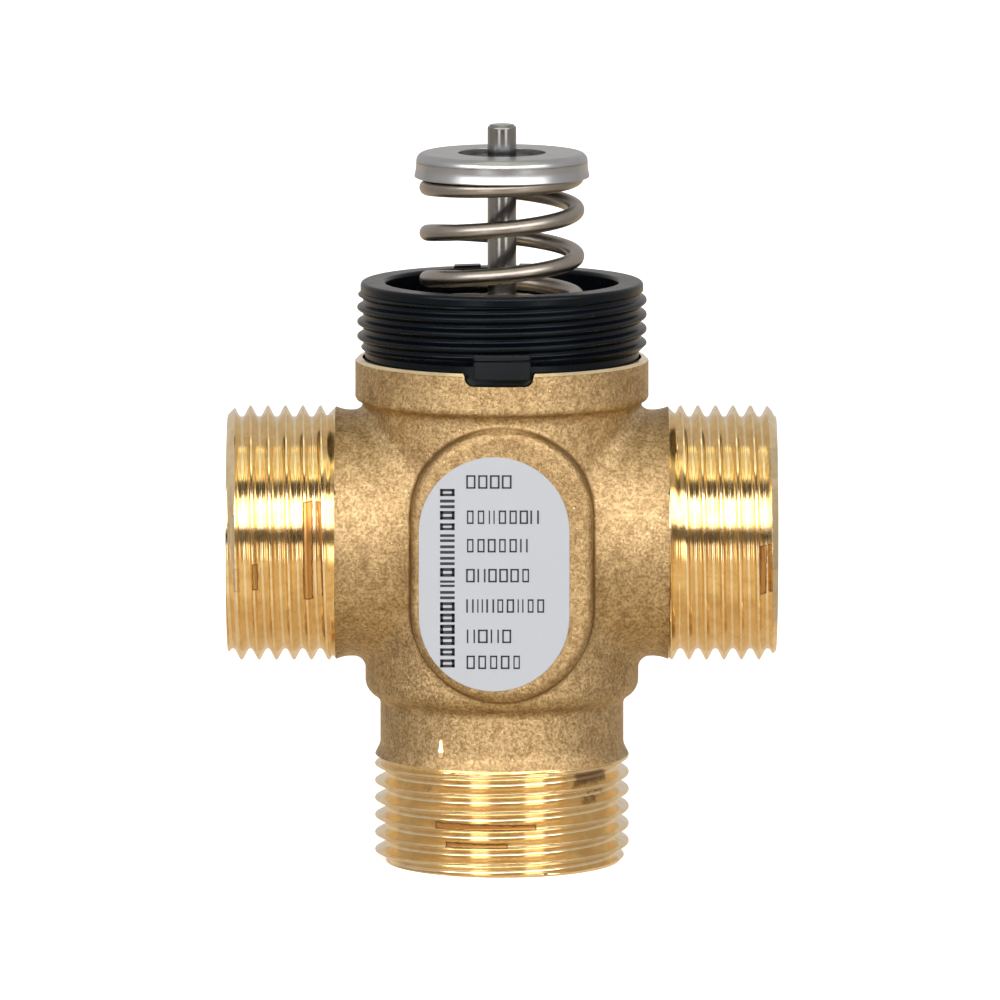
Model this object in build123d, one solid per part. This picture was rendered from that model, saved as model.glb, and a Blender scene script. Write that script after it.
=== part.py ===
from build123d import *
import math
import os

# Three-way valve body with a spring-returned stem. Lengths are millimetres.
# The origin is the centre of the bottom port's end face, +Z runs up the stem,
# +X runs out of the right-hand port and the data label faces -Y.

# Port threads: three-quarter inch parallel pipe thread, drawn as its major cylinder
port_thread_radius = 13.22
port_thread_depth = 1.16
port_end_chamfer = 1.0
side_port_wall = 4.22
bottom_port_wall = 3.72
side_thread_length = 11.2
bottom_thread_length = 11.2

# Forged body, from the bottom port upwards
cast_flange_height = 1.5
cast_flange_step = 0.02
bottom_neck_step = 0.57
bottom_neck_length = 4.5
barrel_edge_radius = 1.6
barrel_below_axis = 17.1
side_neck_step = 0.42
side_neck_length = 3.05
neck_fillet = 1.2
band_step = 1.0
band_above_neck = 0.5
rim_height = 3.2
rim_wall = 0.75
rim_edge_chamfer = 0.35
wall_at_chamber = 4.5

# Label boss on the front of the barrel
boss_width = 18.7
boss_height = 28.2
boss_stand = 0.6
boss_root = 6.8
boss_below_axis = 1.5
boss_edge_radius = 0.8

# Passages inside the body, measured from the side ports' axis
seat_lead_in = 0.5
seat_ledge = 0.5
lower_seat_below_axis = 10.3
lower_seat_height = 4.0
web_above_axis = 1.7
web_thickness = 2.5
seat_step = 3.0
window_width = 12.0
window_margin = 0.5
bonnet_ledge = 1.0
bonnet_thread_length = 6.2

# Clearances
thread_clearance = 0.05
pressed_clearance = 0.03
running_clearance = 0.05
collar_spigot_clearance = 0.25
seat_gap = 0.1

# Actuator collar with its metric 30 x 1.5 thread, drawn as its major cylinder
collar_thread_radius = 15.0
collar_thread_step = 0.8
collar_height = 11.1
collar_thread_start = 3.8
collar_rim_height = 1.3
collar_rim_step = 0.35
collar_rim_fillet = 0.4
collar_groove_step = 0.6
collar_wall = 2.15
collar_shelf_width = 1.55
collar_shelf_thickness = 2.0
collar_shelf_clearance = 0.2
tab_width = 5.9
tab_low = 2.3
tab_high = 5.2
tab_inset = 0.4
notch_clearance = 0.5
notch_below_tab = 1.2
notch_corner = 0.8

# Bonnet screwed into the body, which clamps the collar and carries the spring
bonnet_spigot_length = 0.8
bonnet_seal_space = 1.6
bonnet_flange_thickness = 2.0
bonnet_flange_clearance = 0.25
bonnet_hex_inset = 0.83
bonnet_hex_height = 2.63
bonnet_hub_height = 1.9
spring_hub_clearance = 0.25

# Stem gland, stacked upwards from the bonnet's floor
stem_radius = 1.5
bonnet_floor = 3.5
gland_space = 2.0
guide_bush_length = 2.5
seal_spacer_length = 2.0
gland_head_height = 0.9
gland_head_overhang = 0.5
gland_edge_chamfer = 0.3

# Return spring
wire_radius = 0.85
coil_radius = 7.7
spring_length = 17.62
end_pitch = 2.0
end_coil_step = 0.2
end_taper_turns = 1.0
spring_end_clearance = 0.02
first_ramp_start = 1.0
first_ramp_end = 1.4
last_ramp_start = 3.4
last_ramp_end = 3.65
total_turns = 4.7
points_per_turn = 10
wire_spans = 5

# Pressed spring cap with its bush and clip
cap_sheet = 0.45
cap_flare = 0.25
cap_skirt_clearance = 0.1
cap_skirt_height = 2.75
cap_edge_radius = 1.0
cap_well_radius = 4.53
cap_well_depth = 2.7
cap_bush_height = 1.1
cap_bush_clearance = 0.1
clip_thickness = 0.5
clip_overhang = 1.7
clip_gap_width = 2.0
clip_groove_depth = 0.4
clip_side_clearance = 0.05
stem_above_cap = 2.7
stem_top_chamfer = 0.3

# Plug stack clamped on the foot of the stem
travel = 5.5
seat_overlap = 1.5
plug_waist_depth = 1.0
plug_land = 0.6
plug_seal_thickness = 2.0
plug_washer_clearance = 1.3
plug_washer_thickness = 0.8
stem_foot_step = 0.25
plug_nut_flats = 5.0
plug_nut_height = 2.0
stem_foot_overhang = 0.6
foot_clearance = 0.03

# Seal of the lower seat
seat_seal_section = 0.55
spanner_slot_width = 2.0
spanner_slot_depth = 1.0

# Data label
label_width = 15.5
label_height = 24.3
label_offset_x = -0.8
label_below_axis = 2.3
label_thickness = 0.15

# Radii and reaches worked out from the sizes above
side_neck_radius = port_thread_radius - side_neck_step
bottom_neck_radius = port_thread_radius - bottom_neck_step
cast_flange_radius = port_thread_radius - cast_flange_step
port_bore_radius = port_thread_radius - side_port_wall
bottom_bore_radius = port_thread_radius - bottom_port_wall
seat_pocket_radius = bottom_bore_radius - seat_lead_in
chamber_radius = seat_pocket_radius - seat_ledge
seat_hole_radius = chamber_radius - seat_step
collar_spigot_radius = collar_thread_radius - collar_thread_step
collar_bore_radius = collar_spigot_radius - collar_wall
collar_seat_radius = collar_spigot_radius + collar_spigot_clearance
band_radius = collar_seat_radius + rim_wall
barrel_radius = band_radius - band_step
neck_end = barrel_radius + side_neck_length
side_reach = neck_end + side_thread_length
boss_face_y = -max(barrel_radius, side_neck_radius) - boss_stand
bonnet_bore_radius = collar_bore_radius - collar_shelf_width
bonnet_flange_radius = collar_bore_radius - bonnet_flange_clearance
bonnet_spigot_radius = bonnet_bore_radius - bonnet_seal_space
upper_chamber_radius = bonnet_bore_radius - bonnet_ledge
gland_radius = stem_radius + gland_space
stem_foot_radius = stem_radius - stem_foot_step
plug_radius = seat_hole_radius + seat_overlap
cap_skirt_radius = coil_radius + wire_radius + cap_skirt_clearance + cap_sheet
cap_top_radius = cap_skirt_radius - cap_flare

# Heights worked out from the sizes above
stem_seal_section = (gland_space - pressed_clearance - running_clearance) / 2
stem_seal_height = 2 * stem_seal_section + pressed_clearance
neck_low = bottom_thread_length + cast_flange_height
barrel_low = neck_low + bottom_neck_length
side_axis_z = barrel_low + barrel_below_axis
lower_seat_top = side_axis_z - lower_seat_below_axis
lower_seat_low = lower_seat_top - lower_seat_height
web_low = side_axis_z + web_above_axis
web_high = web_low + web_thickness
bonnet_ledge_z = side_axis_z + port_bore_radius
collar_seat_z = bonnet_ledge_z + bonnet_thread_length
band_low = side_axis_z + side_neck_radius + band_above_neck
band_high = collar_seat_z + rim_height
collar_top = collar_seat_z + collar_height
shelf_top = collar_seat_z + collar_shelf_thickness
flange_top = shelf_top + bonnet_flange_thickness
spring_seat_z = flange_top + bonnet_hex_height
hub_top = spring_seat_z + bonnet_hub_height
bonnet_low = bonnet_ledge_z - bonnet_spigot_length
gland_floor = bonnet_low + bonnet_floor
lower_seal_low = gland_floor + guide_bush_length
spacer_low = lower_seal_low + stem_seal_height
upper_seal_low = spacer_low + seal_spacer_length
gland_nut_low = upper_seal_low + stem_seal_height
cap_under = spring_seat_z + spring_length
cap_top = cap_under + cap_sheet
well_floor = cap_top - cap_well_depth
clip_low = well_floor + cap_sheet + cap_bush_height
stem_top = cap_top + stem_above_cap
upper_seal_top = web_low - seat_gap
plug_high = upper_seal_top - plug_seal_thickness
plug_low = lower_seat_top + seat_gap + travel + plug_seal_thickness
foot_washer_top = plug_low - plug_seal_thickness
nut_top = foot_washer_top - plug_washer_thickness
nut_low = nut_top - plug_nut_height
stem_shoulder = upper_seal_top + plug_washer_thickness

os.makedirs("parts", exist_ok=True)


def disc(radius, low, high):
    """Cylinder about the stem axis between two heights."""
    blank = Cylinder(radius, high - low, align=(Align.CENTER, Align.CENTER, Align.MIN))
    return Pos(0, 0, low) * blank


def bar(radius, start, end):
    """Cylinder about the side ports' axis, between two distances along X."""
    blank = Cylinder(radius, end - start, align=(Align.CENTER, Align.CENTER, Align.MIN))
    return Pos(start, 0, side_axis_z) * Rot(0, 90, 0) * blank


def turned(*outline):
    """Solid turned about the stem axis from (radius, height) corners."""
    corners = [(radius, 0, height) for radius, height in outline]
    return revolve(make_face(Polyline(*corners, close=True)), Axis.Z)


def hexagon(flats, low, high):
    """Hexagonal prism about the stem axis, with a corner on each side along X."""
    face = RegularPolygon(flats / 2, 6, major_radius=False)
    return Pos(0, 0, low) * extrude(face, high - low)


def o_ring(inner, outer, section, height):
    """Round-section ring centred between two radii."""
    return Pos(0, 0, height) * Torus((inner + outer) / 2, section)


def obround(width, height, centre_x, centre_z, back_y, front_y):
    """Upright prism with round ends, from its back plane to its front plane."""
    face = SlotOverall(height, width, rotation=90)
    plane = Plane(origin=(centre_x, back_y, centre_z), x_dir=(1, 0, 0), z_dir=(0, -1, 0))
    return extrude(plane * face, back_y - front_y)


def save(name, shape):
    """Write one sub-part under its node's name."""
    shape.label = name
    export_step(shape, f"parts/{name}.step")


def forged_outside():
    """Outside of the body: barrel, two side ports, bottom port, rim band and label boss."""
    tee = disc(barrel_radius, barrel_low, band_high - rim_edge_chamfer)
    tee += bar(side_neck_radius, -neck_end, neck_end)
    creases = tee.edges().filter_by(GeomType.BSPLINE) + tee.edges().filter_by(GeomType.OTHER)
    tee = fillet(creases, neck_fillet)
    tee = fillet(tee.edges().group_by(Axis.Z)[0], barrel_edge_radius)
    foot = turned(
        (0, 0),
        (port_thread_radius - port_end_chamfer, 0),
        (port_thread_radius, port_end_chamfer),
        (port_thread_radius, bottom_thread_length - port_thread_depth / 2),
        (cast_flange_radius, bottom_thread_length),
        (cast_flange_radius, neck_low - port_thread_depth / 2),
        (bottom_neck_radius, neck_low),
        (bottom_neck_radius, barrel_low + barrel_edge_radius),
        (0, barrel_low + barrel_edge_radius),
    )
    band = turned(
        (0, band_low),
        (barrel_radius, band_low),
        (band_radius, band_low + band_radius - barrel_radius),
        (band_radius, band_high - rim_edge_chamfer),
        (band_radius - rim_edge_chamfer, band_high),
        (0, band_high),
    )
    boss = obround(
        boss_width,
        boss_height,
        0,
        side_axis_z - boss_below_axis,
        boss_face_y + boss_root,
        boss_face_y,
    )
    boss = fillet(boss.edges().group_by(Axis.Y)[0], boss_edge_radius)
    side_port = bar(port_thread_radius, neck_end, side_reach)
    side_port = chamfer(side_port.edges().group_by(Axis.X)[-1], port_end_chamfer)
    side_port = chamfer(side_port.edges().group_by(Axis.X)[0], port_thread_radius - side_neck_radius)
    return tee + foot + band + boss + side_port + mirror(side_port, Plane.YZ)


def passages():
    """Everything bored out of the body, from the bottom port to the collar's seat."""
    column = turned(
        (0, 0),
        (bottom_bore_radius, 0),
        (bottom_bore_radius, lower_seat_low),
        (seat_pocket_radius, lower_seat_low),
        (seat_pocket_radius, lower_seat_top),
        (chamber_radius, lower_seat_top),
        (chamber_radius, web_low),
        (seat_hole_radius, web_low),
        (seat_hole_radius, web_high),
        (upper_chamber_radius, web_high),
        (upper_chamber_radius, bonnet_ledge_z),
        (bonnet_bore_radius, bonnet_ledge_z),
        (bonnet_bore_radius, collar_seat_z),
        (collar_seat_radius, collar_seat_z),
        (collar_seat_radius, band_high),
        (0, band_high),
    )
    blind = chamber_radius + wall_at_chamber
    bore = bar(port_bore_radius, blind, side_reach)
    upper_gap = bonnet_ledge_z - window_margin - web_high
    middle_low = side_axis_z - port_bore_radius + window_margin
    middle_gap = web_low - window_margin - middle_low
    upper_z = web_high + upper_gap / 2
    middle_z = middle_low + middle_gap / 2
    upper_window = Pos(-blind / 2, 0, upper_z) * Box(blind + 1, window_width, upper_gap)
    middle_window = Pos(blind / 2, 0, middle_z) * Box(blind + 1, window_width, middle_gap)
    notch_low = tab_low - notch_below_tab
    notch_width = tab_width + 2 * notch_clearance
    notch = Box(notch_width, band_radius, rim_height - notch_low)
    notch = fillet(notch.edges().filter_by(Axis.Y).group_by(Axis.Z)[0], notch_corner)
    notch_z = collar_seat_z + (rim_height + notch_low) / 2
    notch = Pos(0, -collar_bore_radius - band_radius / 2, notch_z) * notch
    return column + bore + mirror(bore, Plane.YZ) + upper_window + middle_window + notch


def valve_body():
    """One forged and machined piece with three male ports."""
    return forged_outside() - passages()


def actuator_collar():
    """Moulded collar: threaded outside, an inward shelf under the bonnet and a locking tab."""
    thread_low = collar_seat_z + collar_thread_start
    thread_high = collar_top - collar_rim_height
    groove_radius = collar_thread_radius - collar_groove_step
    rim_radius = collar_thread_radius - collar_rim_step
    rim_low = thread_high + collar_groove_step + rim_radius - groove_radius
    ring = turned(
        (bonnet_bore_radius + collar_shelf_clearance, collar_seat_z),
        (collar_spigot_radius, collar_seat_z),
        (collar_spigot_radius, thread_low),
        (collar_thread_radius, thread_low + collar_thread_step),
        (collar_thread_radius, thread_high),
        (groove_radius, thread_high + collar_groove_step),
        (rim_radius, rim_low),
        (rim_radius, collar_top),
        (collar_bore_radius, collar_top),
        (collar_bore_radius, shelf_top),
        (bonnet_bore_radius + collar_shelf_clearance, shelf_top),
    )
    rim_edges = ring.edges().filter_by(GeomType.CIRCLE).group_by(Axis.Z)[-1]
    ring = fillet(rim_edges, collar_rim_fillet)
    tab_depth = collar_thread_radius - collar_bore_radius
    tab = Pos(
        0,
        -collar_thread_radius + tab_depth / 2,
        collar_seat_z + (tab_low + tab_high) / 2,
    ) * Box(tab_width, tab_depth, tab_high - tab_low)
    tab &= disc(collar_thread_radius - tab_inset, collar_seat_z, collar_top)
    bore = disc(collar_bore_radius, shelf_top, collar_top)
    return ring + (tab - bore)


def bonnet():
    """Screwed bonnet with a hexagon, a flange on the collar's shelf and a hub for the spring."""
    thread_radius = bonnet_bore_radius - thread_clearance
    hub_radius = coil_radius - wire_radius - spring_hub_clearance
    shank = turned(
        (0, bonnet_low),
        (bonnet_spigot_radius, bonnet_low),
        (bonnet_spigot_radius, bonnet_ledge_z + bonnet_seal_space),
        (thread_radius, bonnet_ledge_z + bonnet_seal_space),
        (thread_radius, shelf_top),
        (bonnet_flange_radius, shelf_top),
        (bonnet_flange_radius, flange_top),
        (0, flange_top),
    )
    hub = disc(hub_radius, spring_seat_z, hub_top)
    hex_corner = bonnet_flange_radius - bonnet_hex_inset
    hex_flats = 2 * hex_corner * math.cos(math.pi / 6)
    solid = shank + hexagon(hex_flats, flange_top, spring_seat_z) + hub
    solid -= disc(stem_radius + running_clearance, bonnet_low, gland_floor)
    return solid - disc(gland_radius, gland_floor, hub_top)


def gland_ring(low, high):
    """Ring that fills the gland between the stem and the bonnet."""
    ring = disc(gland_radius - pressed_clearance, low, high)
    return ring - disc(stem_radius + running_clearance, low, high)


def stem_seal(low):
    """Round-section seal that fills one stage of the gland."""
    inner = stem_radius + running_clearance
    outer = gland_radius - pressed_clearance
    return o_ring(inner, outer, stem_seal_section, low + stem_seal_height / 2)


def gland_nut():
    """Nut with a low hexagon head that closes the gland."""
    shank = gland_ring(gland_nut_low, hub_top)
    head_top = hub_top + gland_head_height
    head = hexagon(2 * (gland_radius + gland_head_overhang), hub_top, head_top)
    head = chamfer(head.edges().group_by(Axis.Z)[-1], gland_edge_chamfer)
    return shank + (head - disc(stem_radius + running_clearance, hub_top, head_top))


def bonnet_seal():
    """Ring between the bonnet's shoulder and the body's ledge."""
    middle = bonnet_ledge_z + bonnet_seal_space / 2
    section = bonnet_seal_space / 2 - 2 * pressed_clearance
    return o_ring(bonnet_spigot_radius, bonnet_bore_radius, section, middle)


def lower_seat():
    """Seat ring pressed up into the body from the bottom port."""
    ring = disc(seat_pocket_radius - pressed_clearance, lower_seat_low, lower_seat_top)
    ring -= disc(seat_hole_radius, lower_seat_low, lower_seat_top)
    middle = (lower_seat_low + lower_seat_top) / 2
    groove_low = middle - seat_seal_section - pressed_clearance
    groove_high = middle + seat_seal_section + pressed_clearance
    groove_floor = seat_pocket_radius - 2 * seat_seal_section - 2 * pressed_clearance
    groove = disc(seat_pocket_radius, groove_low, groove_high)
    groove -= disc(groove_floor, groove_low, groove_high)
    slot = Box(2 * seat_pocket_radius, spanner_slot_width, 2 * spanner_slot_depth)
    return ring - groove - Pos(0, 0, lower_seat_low) * slot


def lower_seat_seal():
    """Ring in the lower seat's groove."""
    outer = seat_pocket_radius - pressed_clearance
    inner = outer - 2 * seat_seal_section
    return o_ring(inner, outer, seat_seal_section, (lower_seat_low + lower_seat_top) / 2)


def pitch_area(turn):
    """Share of open pitch wound up to a turn: closed ends, two ramps and open coils between."""
    first = min(max(turn - first_ramp_start, 0), first_ramp_end - first_ramp_start)
    climb = first * first / 2 / (first_ramp_end - first_ramp_start)
    level = min(max(turn - first_ramp_end, 0), last_ramp_start - first_ramp_end)
    last = min(max(turn - last_ramp_start, 0), last_ramp_end - last_ramp_start)
    fall = last - last * last / 2 / (last_ramp_end - last_ramp_start)
    return climb + level + fall


def return_spring():
    """Right-hand compression spring whose end turns are nearly closed."""
    rise = spring_length - 2 * wire_radius - 2 * spring_end_clearance
    open_rise = (rise - end_pitch * total_turns) / pitch_area(total_turns)
    steps = round(total_turns * points_per_turn)
    foot = spring_seat_z + spring_end_clearance + wire_radius
    path_points = []
    for step in range(steps + 1):
        turn = total_turns * step / steps
        angle = 2 * math.pi * turn
        height = end_pitch * turn + open_rise * pitch_area(turn)
        taper = max(turn - total_turns + end_taper_turns, 0) / end_taper_turns
        radius = coil_radius - taper * end_coil_step
        path_points.append((radius * math.cos(angle), radius * math.sin(angle), foot + height))
    path = Spline(*path_points)
    spans = []
    for span in range(wire_spans):
        spans.append(path.edge().trim(span / wire_spans, (span + 1) / wire_spans))
    section = Plane(origin=path @ 0, z_dir=path % 0) * Circle(wire_radius)
    return sweep(section, path=Wire(spans))


def spring_cap():
    """Pressed cap: flared skirt over the spring's end, round shoulder and a well for the clip."""
    skirt_low = cap_top - cap_skirt_height
    well_outer = cap_well_radius + cap_sheet
    stem_hole = stem_radius + pressed_clearance
    solid = turned(
        (stem_hole, well_floor),
        (well_outer, well_floor),
        (well_outer, cap_under),
        (cap_top_radius - cap_sheet, cap_under),
        (cap_skirt_radius - cap_sheet, skirt_low),
        (cap_skirt_radius, skirt_low),
        (cap_top_radius, cap_top),
        (cap_well_radius, cap_top),
        (cap_well_radius, well_floor + cap_sheet),
        (stem_hole, well_floor + cap_sheet),
    )
    top_edges = solid.edges().filter_by(GeomType.CIRCLE).group_by(Axis.Z)[-1].sort_by(SortBy.RADIUS)
    solid = fillet(top_edges[-1], cap_edge_radius)
    top_edges = solid.edges().filter_by(GeomType.CIRCLE).group_by(Axis.Z)[-1].sort_by(SortBy.RADIUS)
    return fillet(top_edges[0], cap_sheet / 2)


def cap_bush():
    """Plastic bush between the cap's well and the stem."""
    low = well_floor + cap_sheet
    ring = disc(cap_well_radius - cap_bush_clearance, low, low + cap_bush_height)
    return ring - disc(stem_radius + pressed_clearance, low, low + cap_bush_height)


def cap_clip():
    """Open clip snapped into the stem's groove on top of the bush."""
    clip_high = clip_low + clip_thickness
    clip_radius = stem_radius + clip_overhang
    ring = disc(clip_radius, clip_low, clip_high)
    ring -= disc(stem_radius - clip_groove_depth + pressed_clearance, clip_low, clip_high)
    align = (Align.CENTER, Align.MIN, Align.MIN)
    mouth = Box(clip_gap_width, clip_radius, clip_thickness, align=align)
    return ring - Pos(0, 0, clip_low) * mouth


def stem():
    """Ground stem with a stepped foot for the plug and a groove for the clip."""
    groove_low = clip_low - clip_side_clearance
    groove_high = clip_low + clip_thickness + clip_side_clearance
    groove_radius = stem_radius - clip_groove_depth
    return turned(
        (0, nut_low - stem_foot_overhang),
        (stem_foot_radius, nut_low - stem_foot_overhang),
        (stem_foot_radius, stem_shoulder),
        (stem_radius, stem_shoulder),
        (stem_radius, groove_low),
        (groove_radius, groove_low),
        (groove_radius, groove_high),
        (stem_radius, groove_high),
        (stem_radius, stem_top - stem_top_chamfer),
        (stem_radius - stem_top_chamfer, stem_top),
        (0, stem_top),
    )


def foot_ring(radius, low, high):
    """Ring on the stem's foot between two heights."""
    return disc(radius, low, high) - disc(stem_foot_radius + foot_clearance, low, high)


def plug():
    """Waisted plug between its two seal discs."""
    waist_radius = plug_radius - plug_waist_depth
    waist_drop = (plug_high - plug_low) / 2 - plug_land / 2
    return turned(
        (stem_foot_radius + foot_clearance, plug_low),
        (plug_radius, plug_low),
        (plug_radius, plug_low + plug_land),
        (waist_radius, plug_low + waist_drop),
        (waist_radius, plug_high - waist_drop),
        (plug_radius, plug_high - plug_land),
        (plug_radius, plug_high),
        (stem_foot_radius + foot_clearance, plug_high),
    )


def plug_nut():
    """Nut under the plug stack."""
    nut = hexagon(plug_nut_flats, nut_low, nut_top)
    return nut - disc(stem_foot_radius + foot_clearance, nut_low, nut_top)


def data_label():
    """Thin foil label on the boss."""
    return obround(
        label_width,
        label_height,
        label_offset_x,
        side_axis_z - label_below_axis,
        boss_face_y,
        boss_face_y - label_thickness,
    )


save("valve_body", valve_body())
save("actuator_collar", actuator_collar())
save("bonnet", bonnet())
save("bonnet_seal", bonnet_seal())
save("guide_bush", gland_ring(gland_floor, lower_seal_low))
save("stem_seal_lower", stem_seal(lower_seal_low))
save("seal_spacer", gland_ring(spacer_low, upper_seal_low))
save("stem_seal_upper", stem_seal(upper_seal_low))
save("gland_nut", gland_nut())
save("lower_seat", lower_seat())
save("lower_seat_seal", lower_seat_seal())
save("data_label", data_label())
save("return_spring", return_spring())
save("stem", stem())
save("spring_cap", spring_cap())
save("cap_bush", cap_bush())
save("cap_clip", cap_clip())
save("plug", plug())
save("upper_plug_seal", foot_ring(plug_radius, plug_high, upper_seal_top))
save("lower_plug_seal", foot_ring(plug_radius, foot_washer_top, plug_low))
washer_radius = seat_hole_radius - plug_washer_clearance
save("upper_plug_washer", foot_ring(washer_radius, upper_seal_top, stem_shoulder))
save("lower_plug_washer", foot_ring(washer_radius, nut_top, foot_washer_top))
save("plug_nut", plug_nut())
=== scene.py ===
"""Three-way brass valve body with its actuator collar, spring cap and stem, dressed for a studio picture.

Sizes are in millimetres about the stem axis, with the bottom port's end face at height 0, and
become metres when a mesh is made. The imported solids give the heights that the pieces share.
"""

import logging
import math
from dataclasses import dataclass
from enum import Enum
from typing import Callable, ClassVar, Optional, Sequence, Union

import bmesh
import bpy
import numpy as np
from mathutils import Matrix, Vector


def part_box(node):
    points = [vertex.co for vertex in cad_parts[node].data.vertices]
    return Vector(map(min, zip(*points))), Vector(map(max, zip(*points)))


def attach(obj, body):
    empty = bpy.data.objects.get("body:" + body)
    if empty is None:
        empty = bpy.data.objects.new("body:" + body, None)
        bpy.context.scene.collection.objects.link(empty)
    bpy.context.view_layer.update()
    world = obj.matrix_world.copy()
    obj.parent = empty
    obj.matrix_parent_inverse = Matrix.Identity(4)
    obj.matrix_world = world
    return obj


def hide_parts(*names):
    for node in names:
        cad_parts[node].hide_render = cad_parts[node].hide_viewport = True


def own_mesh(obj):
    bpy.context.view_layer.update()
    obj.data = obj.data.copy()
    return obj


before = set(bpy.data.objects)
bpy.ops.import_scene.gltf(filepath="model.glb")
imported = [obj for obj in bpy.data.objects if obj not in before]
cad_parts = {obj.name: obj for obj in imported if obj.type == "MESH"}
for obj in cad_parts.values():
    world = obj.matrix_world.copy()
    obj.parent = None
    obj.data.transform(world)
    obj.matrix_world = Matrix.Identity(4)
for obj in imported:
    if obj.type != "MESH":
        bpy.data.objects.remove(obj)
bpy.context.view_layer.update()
LOG = logging.getLogger("valve")
MM = 0.001
Value = Union[float, tuple, bpy.types.NodeSocket]
Outline = Sequence[tuple]


class Body(Enum):
    """The two bodies that pieces ride on."""

    FIXED = "valve_body"
    MOVING = "stem"


class Direction(Enum):
    """Axis that a port is turned about, with the turn that lays its mesh along that axis."""

    UP = "z"
    ACROSS = "x"

    def matrix(self) -> Matrix:
        """Turn from a mesh made about Z to this axis."""
        if self is Direction.UP:
            return Matrix.Identity(4)
        return Matrix(((0, 0, 1, 0), (1, 0, 0, 0), (0, 1, 0, 0), (0, 0, 0, 1)))


def low_high(node: str) -> tuple[np.ndarray, np.ndarray]:
    """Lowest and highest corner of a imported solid, in millimetres."""
    low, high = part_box(node)
    return np.array(low) / MM, np.array(high) / MM


def colour(red: float, green: float, blue: float) -> tuple[float, float, float, float]:
    """Opaque colour from its three parts."""
    return (red, green, blue, 1.0)


def toned(tint: tuple, factor: float) -> tuple[float, float, float, float]:
    """Colour made lighter or darker."""
    return colour(*(min(part * factor, 1.0) for part in tint[:3]))


def put_in_scene(name: str, data: bpy.types.ID) -> bpy.types.Object:
    """New object with its data, linked to the scene."""
    made = bpy.data.objects.new(name, data)
    bpy.context.scene.collection.objects.link(made)
    return made


# Node graphs


class Graph:
    """Short words for adding, setting and joining the nodes of one tree."""

    def __init__(self, tree: bpy.types.NodeTree) -> None:
        """Keep the tree that nodes go into."""
        self.tree = tree

    def put(self, socket: bpy.types.NodeSocket, value: Value) -> None:
        """Link a socket to another, or set it to a plain value."""
        if isinstance(value, bpy.types.NodeSocket):
            self.tree.links.new(value, socket)
        else:
            socket.default_value = value

    def add(self, kind: str, inputs: Optional[dict] = None, **settings: object) -> bpy.types.Node:
        """Add a node.

        Args:
            kind: Blender's name of the node type.
            inputs: values or sockets by input name or number.
            settings: the node's own properties.

        Returns:
            The new node.
        """
        node = self.tree.nodes.new(kind)
        for name, value in settings.items():
            setattr(node, name, value)
        for name, value in (inputs or {}).items():
            self.put(node.inputs[name], value)
        return node

    def math(self, operation: str, *values: Value) -> bpy.types.NodeSocket:
        """Result of one arithmetic node on up to three values."""
        node = self.add("ShaderNodeMath", dict(enumerate(values)), operation=operation)
        return node.outputs[0]

    def vector(self, operation: str, *values: Value) -> bpy.types.NodeSocket:
        """Result of one vector node, the number for length and dot product."""
        node = self.add("ShaderNodeVectorMath", dict(enumerate(values)), operation=operation)
        number = operation in ("LENGTH", "DOT_PRODUCT")
        return node.outputs[1 if number else 0]

    def mix(self, share: Value, first: Value, second: Value) -> bpy.types.NodeSocket:
        """Blend of two colours."""
        node = self.add("ShaderNodeMix", data_type="RGBA")
        self.put(node.inputs["Factor"], share)
        self.put(node.inputs[6], first)
        self.put(node.inputs[7], second)
        return node.outputs[2]

    def smooth(self, value: Value, start: float, end: float) -> bpy.types.NodeSocket:
        """Smooth step from 0 at start to 1 at end."""
        inputs = {"Value": value, "From Min": start, "From Max": end}
        node = self.add("ShaderNodeMapRange", inputs, interpolation_type="SMOOTHSTEP")
        return node.outputs[0]

    def scaled(self, value: Value, low: float, high: float) -> bpy.types.NodeSocket:
        """Value from 0 to 1 spread from low to high."""
        return self.math("MULTIPLY_ADD", value, high - low, low)

    def noise(
        self, place: Value, scale: float, detail: float = 2.0, rough: float = 0.5
    ) -> bpy.types.NodeSocket:
        """Height of a noise pattern with so many cells a millimetre."""
        inputs = {"Vector": place, "Scale": scale, "Detail": detail, "Roughness": rough}
        return self.add("ShaderNodeTexNoise", inputs).outputs[0]

    def cells(self, place: Value, scale: float) -> bpy.types.Node:
        """Pattern of irregular cells, so many a millimetre."""
        return self.add("ShaderNodeTexVoronoi", {"Vector": place, "Scale": scale})

    def bump(self, height: Value, depth: float) -> bpy.types.NodeSocket:
        """Surface normal over a height of so many millimetres."""
        inputs = {"Height": height, "Distance": depth * MM, "Strength": 1.0}
        return self.add("ShaderNodeBump", inputs).outputs[0]

    def hand_out(self, geometry: Value, finish: Value) -> None:
        """End a geometry tree: realize its instances, set its material and hand out the mesh."""
        real = self.add("GeometryNodeRealizeInstances", {"Geometry": geometry})
        inputs = {"Geometry": real.outputs[0], "Material": finish}
        dressed = self.add("GeometryNodeSetMaterial", inputs)
        self.add("NodeGroupOutput", {0: dressed.outputs[0]})


def geometry_tree(name: str, sizes: Sequence[str], counts: Sequence[str]) -> bpy.types.NodeTree:
    """Empty geometry node tree with named inputs, a finish and the mesh that comes out.

    Args:
        name: the tree's name.
        sizes: names of the inputs that are lengths, heights or shares.
        counts: names of the inputs that are whole numbers.

    Returns:
        The tree.
    """
    tree = bpy.data.node_groups.new(name, "GeometryNodeTree")
    kinds = {"NodeSocketFloat": sizes, "NodeSocketInt": counts, "NodeSocketMaterial": ("Finish",)}
    for kind, inputs in kinds.items():
        for item in inputs:
            tree.interface.new_socket(item, in_out="INPUT", socket_type=kind)
    tree.interface.new_socket("Mesh", in_out="OUTPUT", socket_type="NodeSocketGeometry")
    return tree


# Finishes


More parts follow.
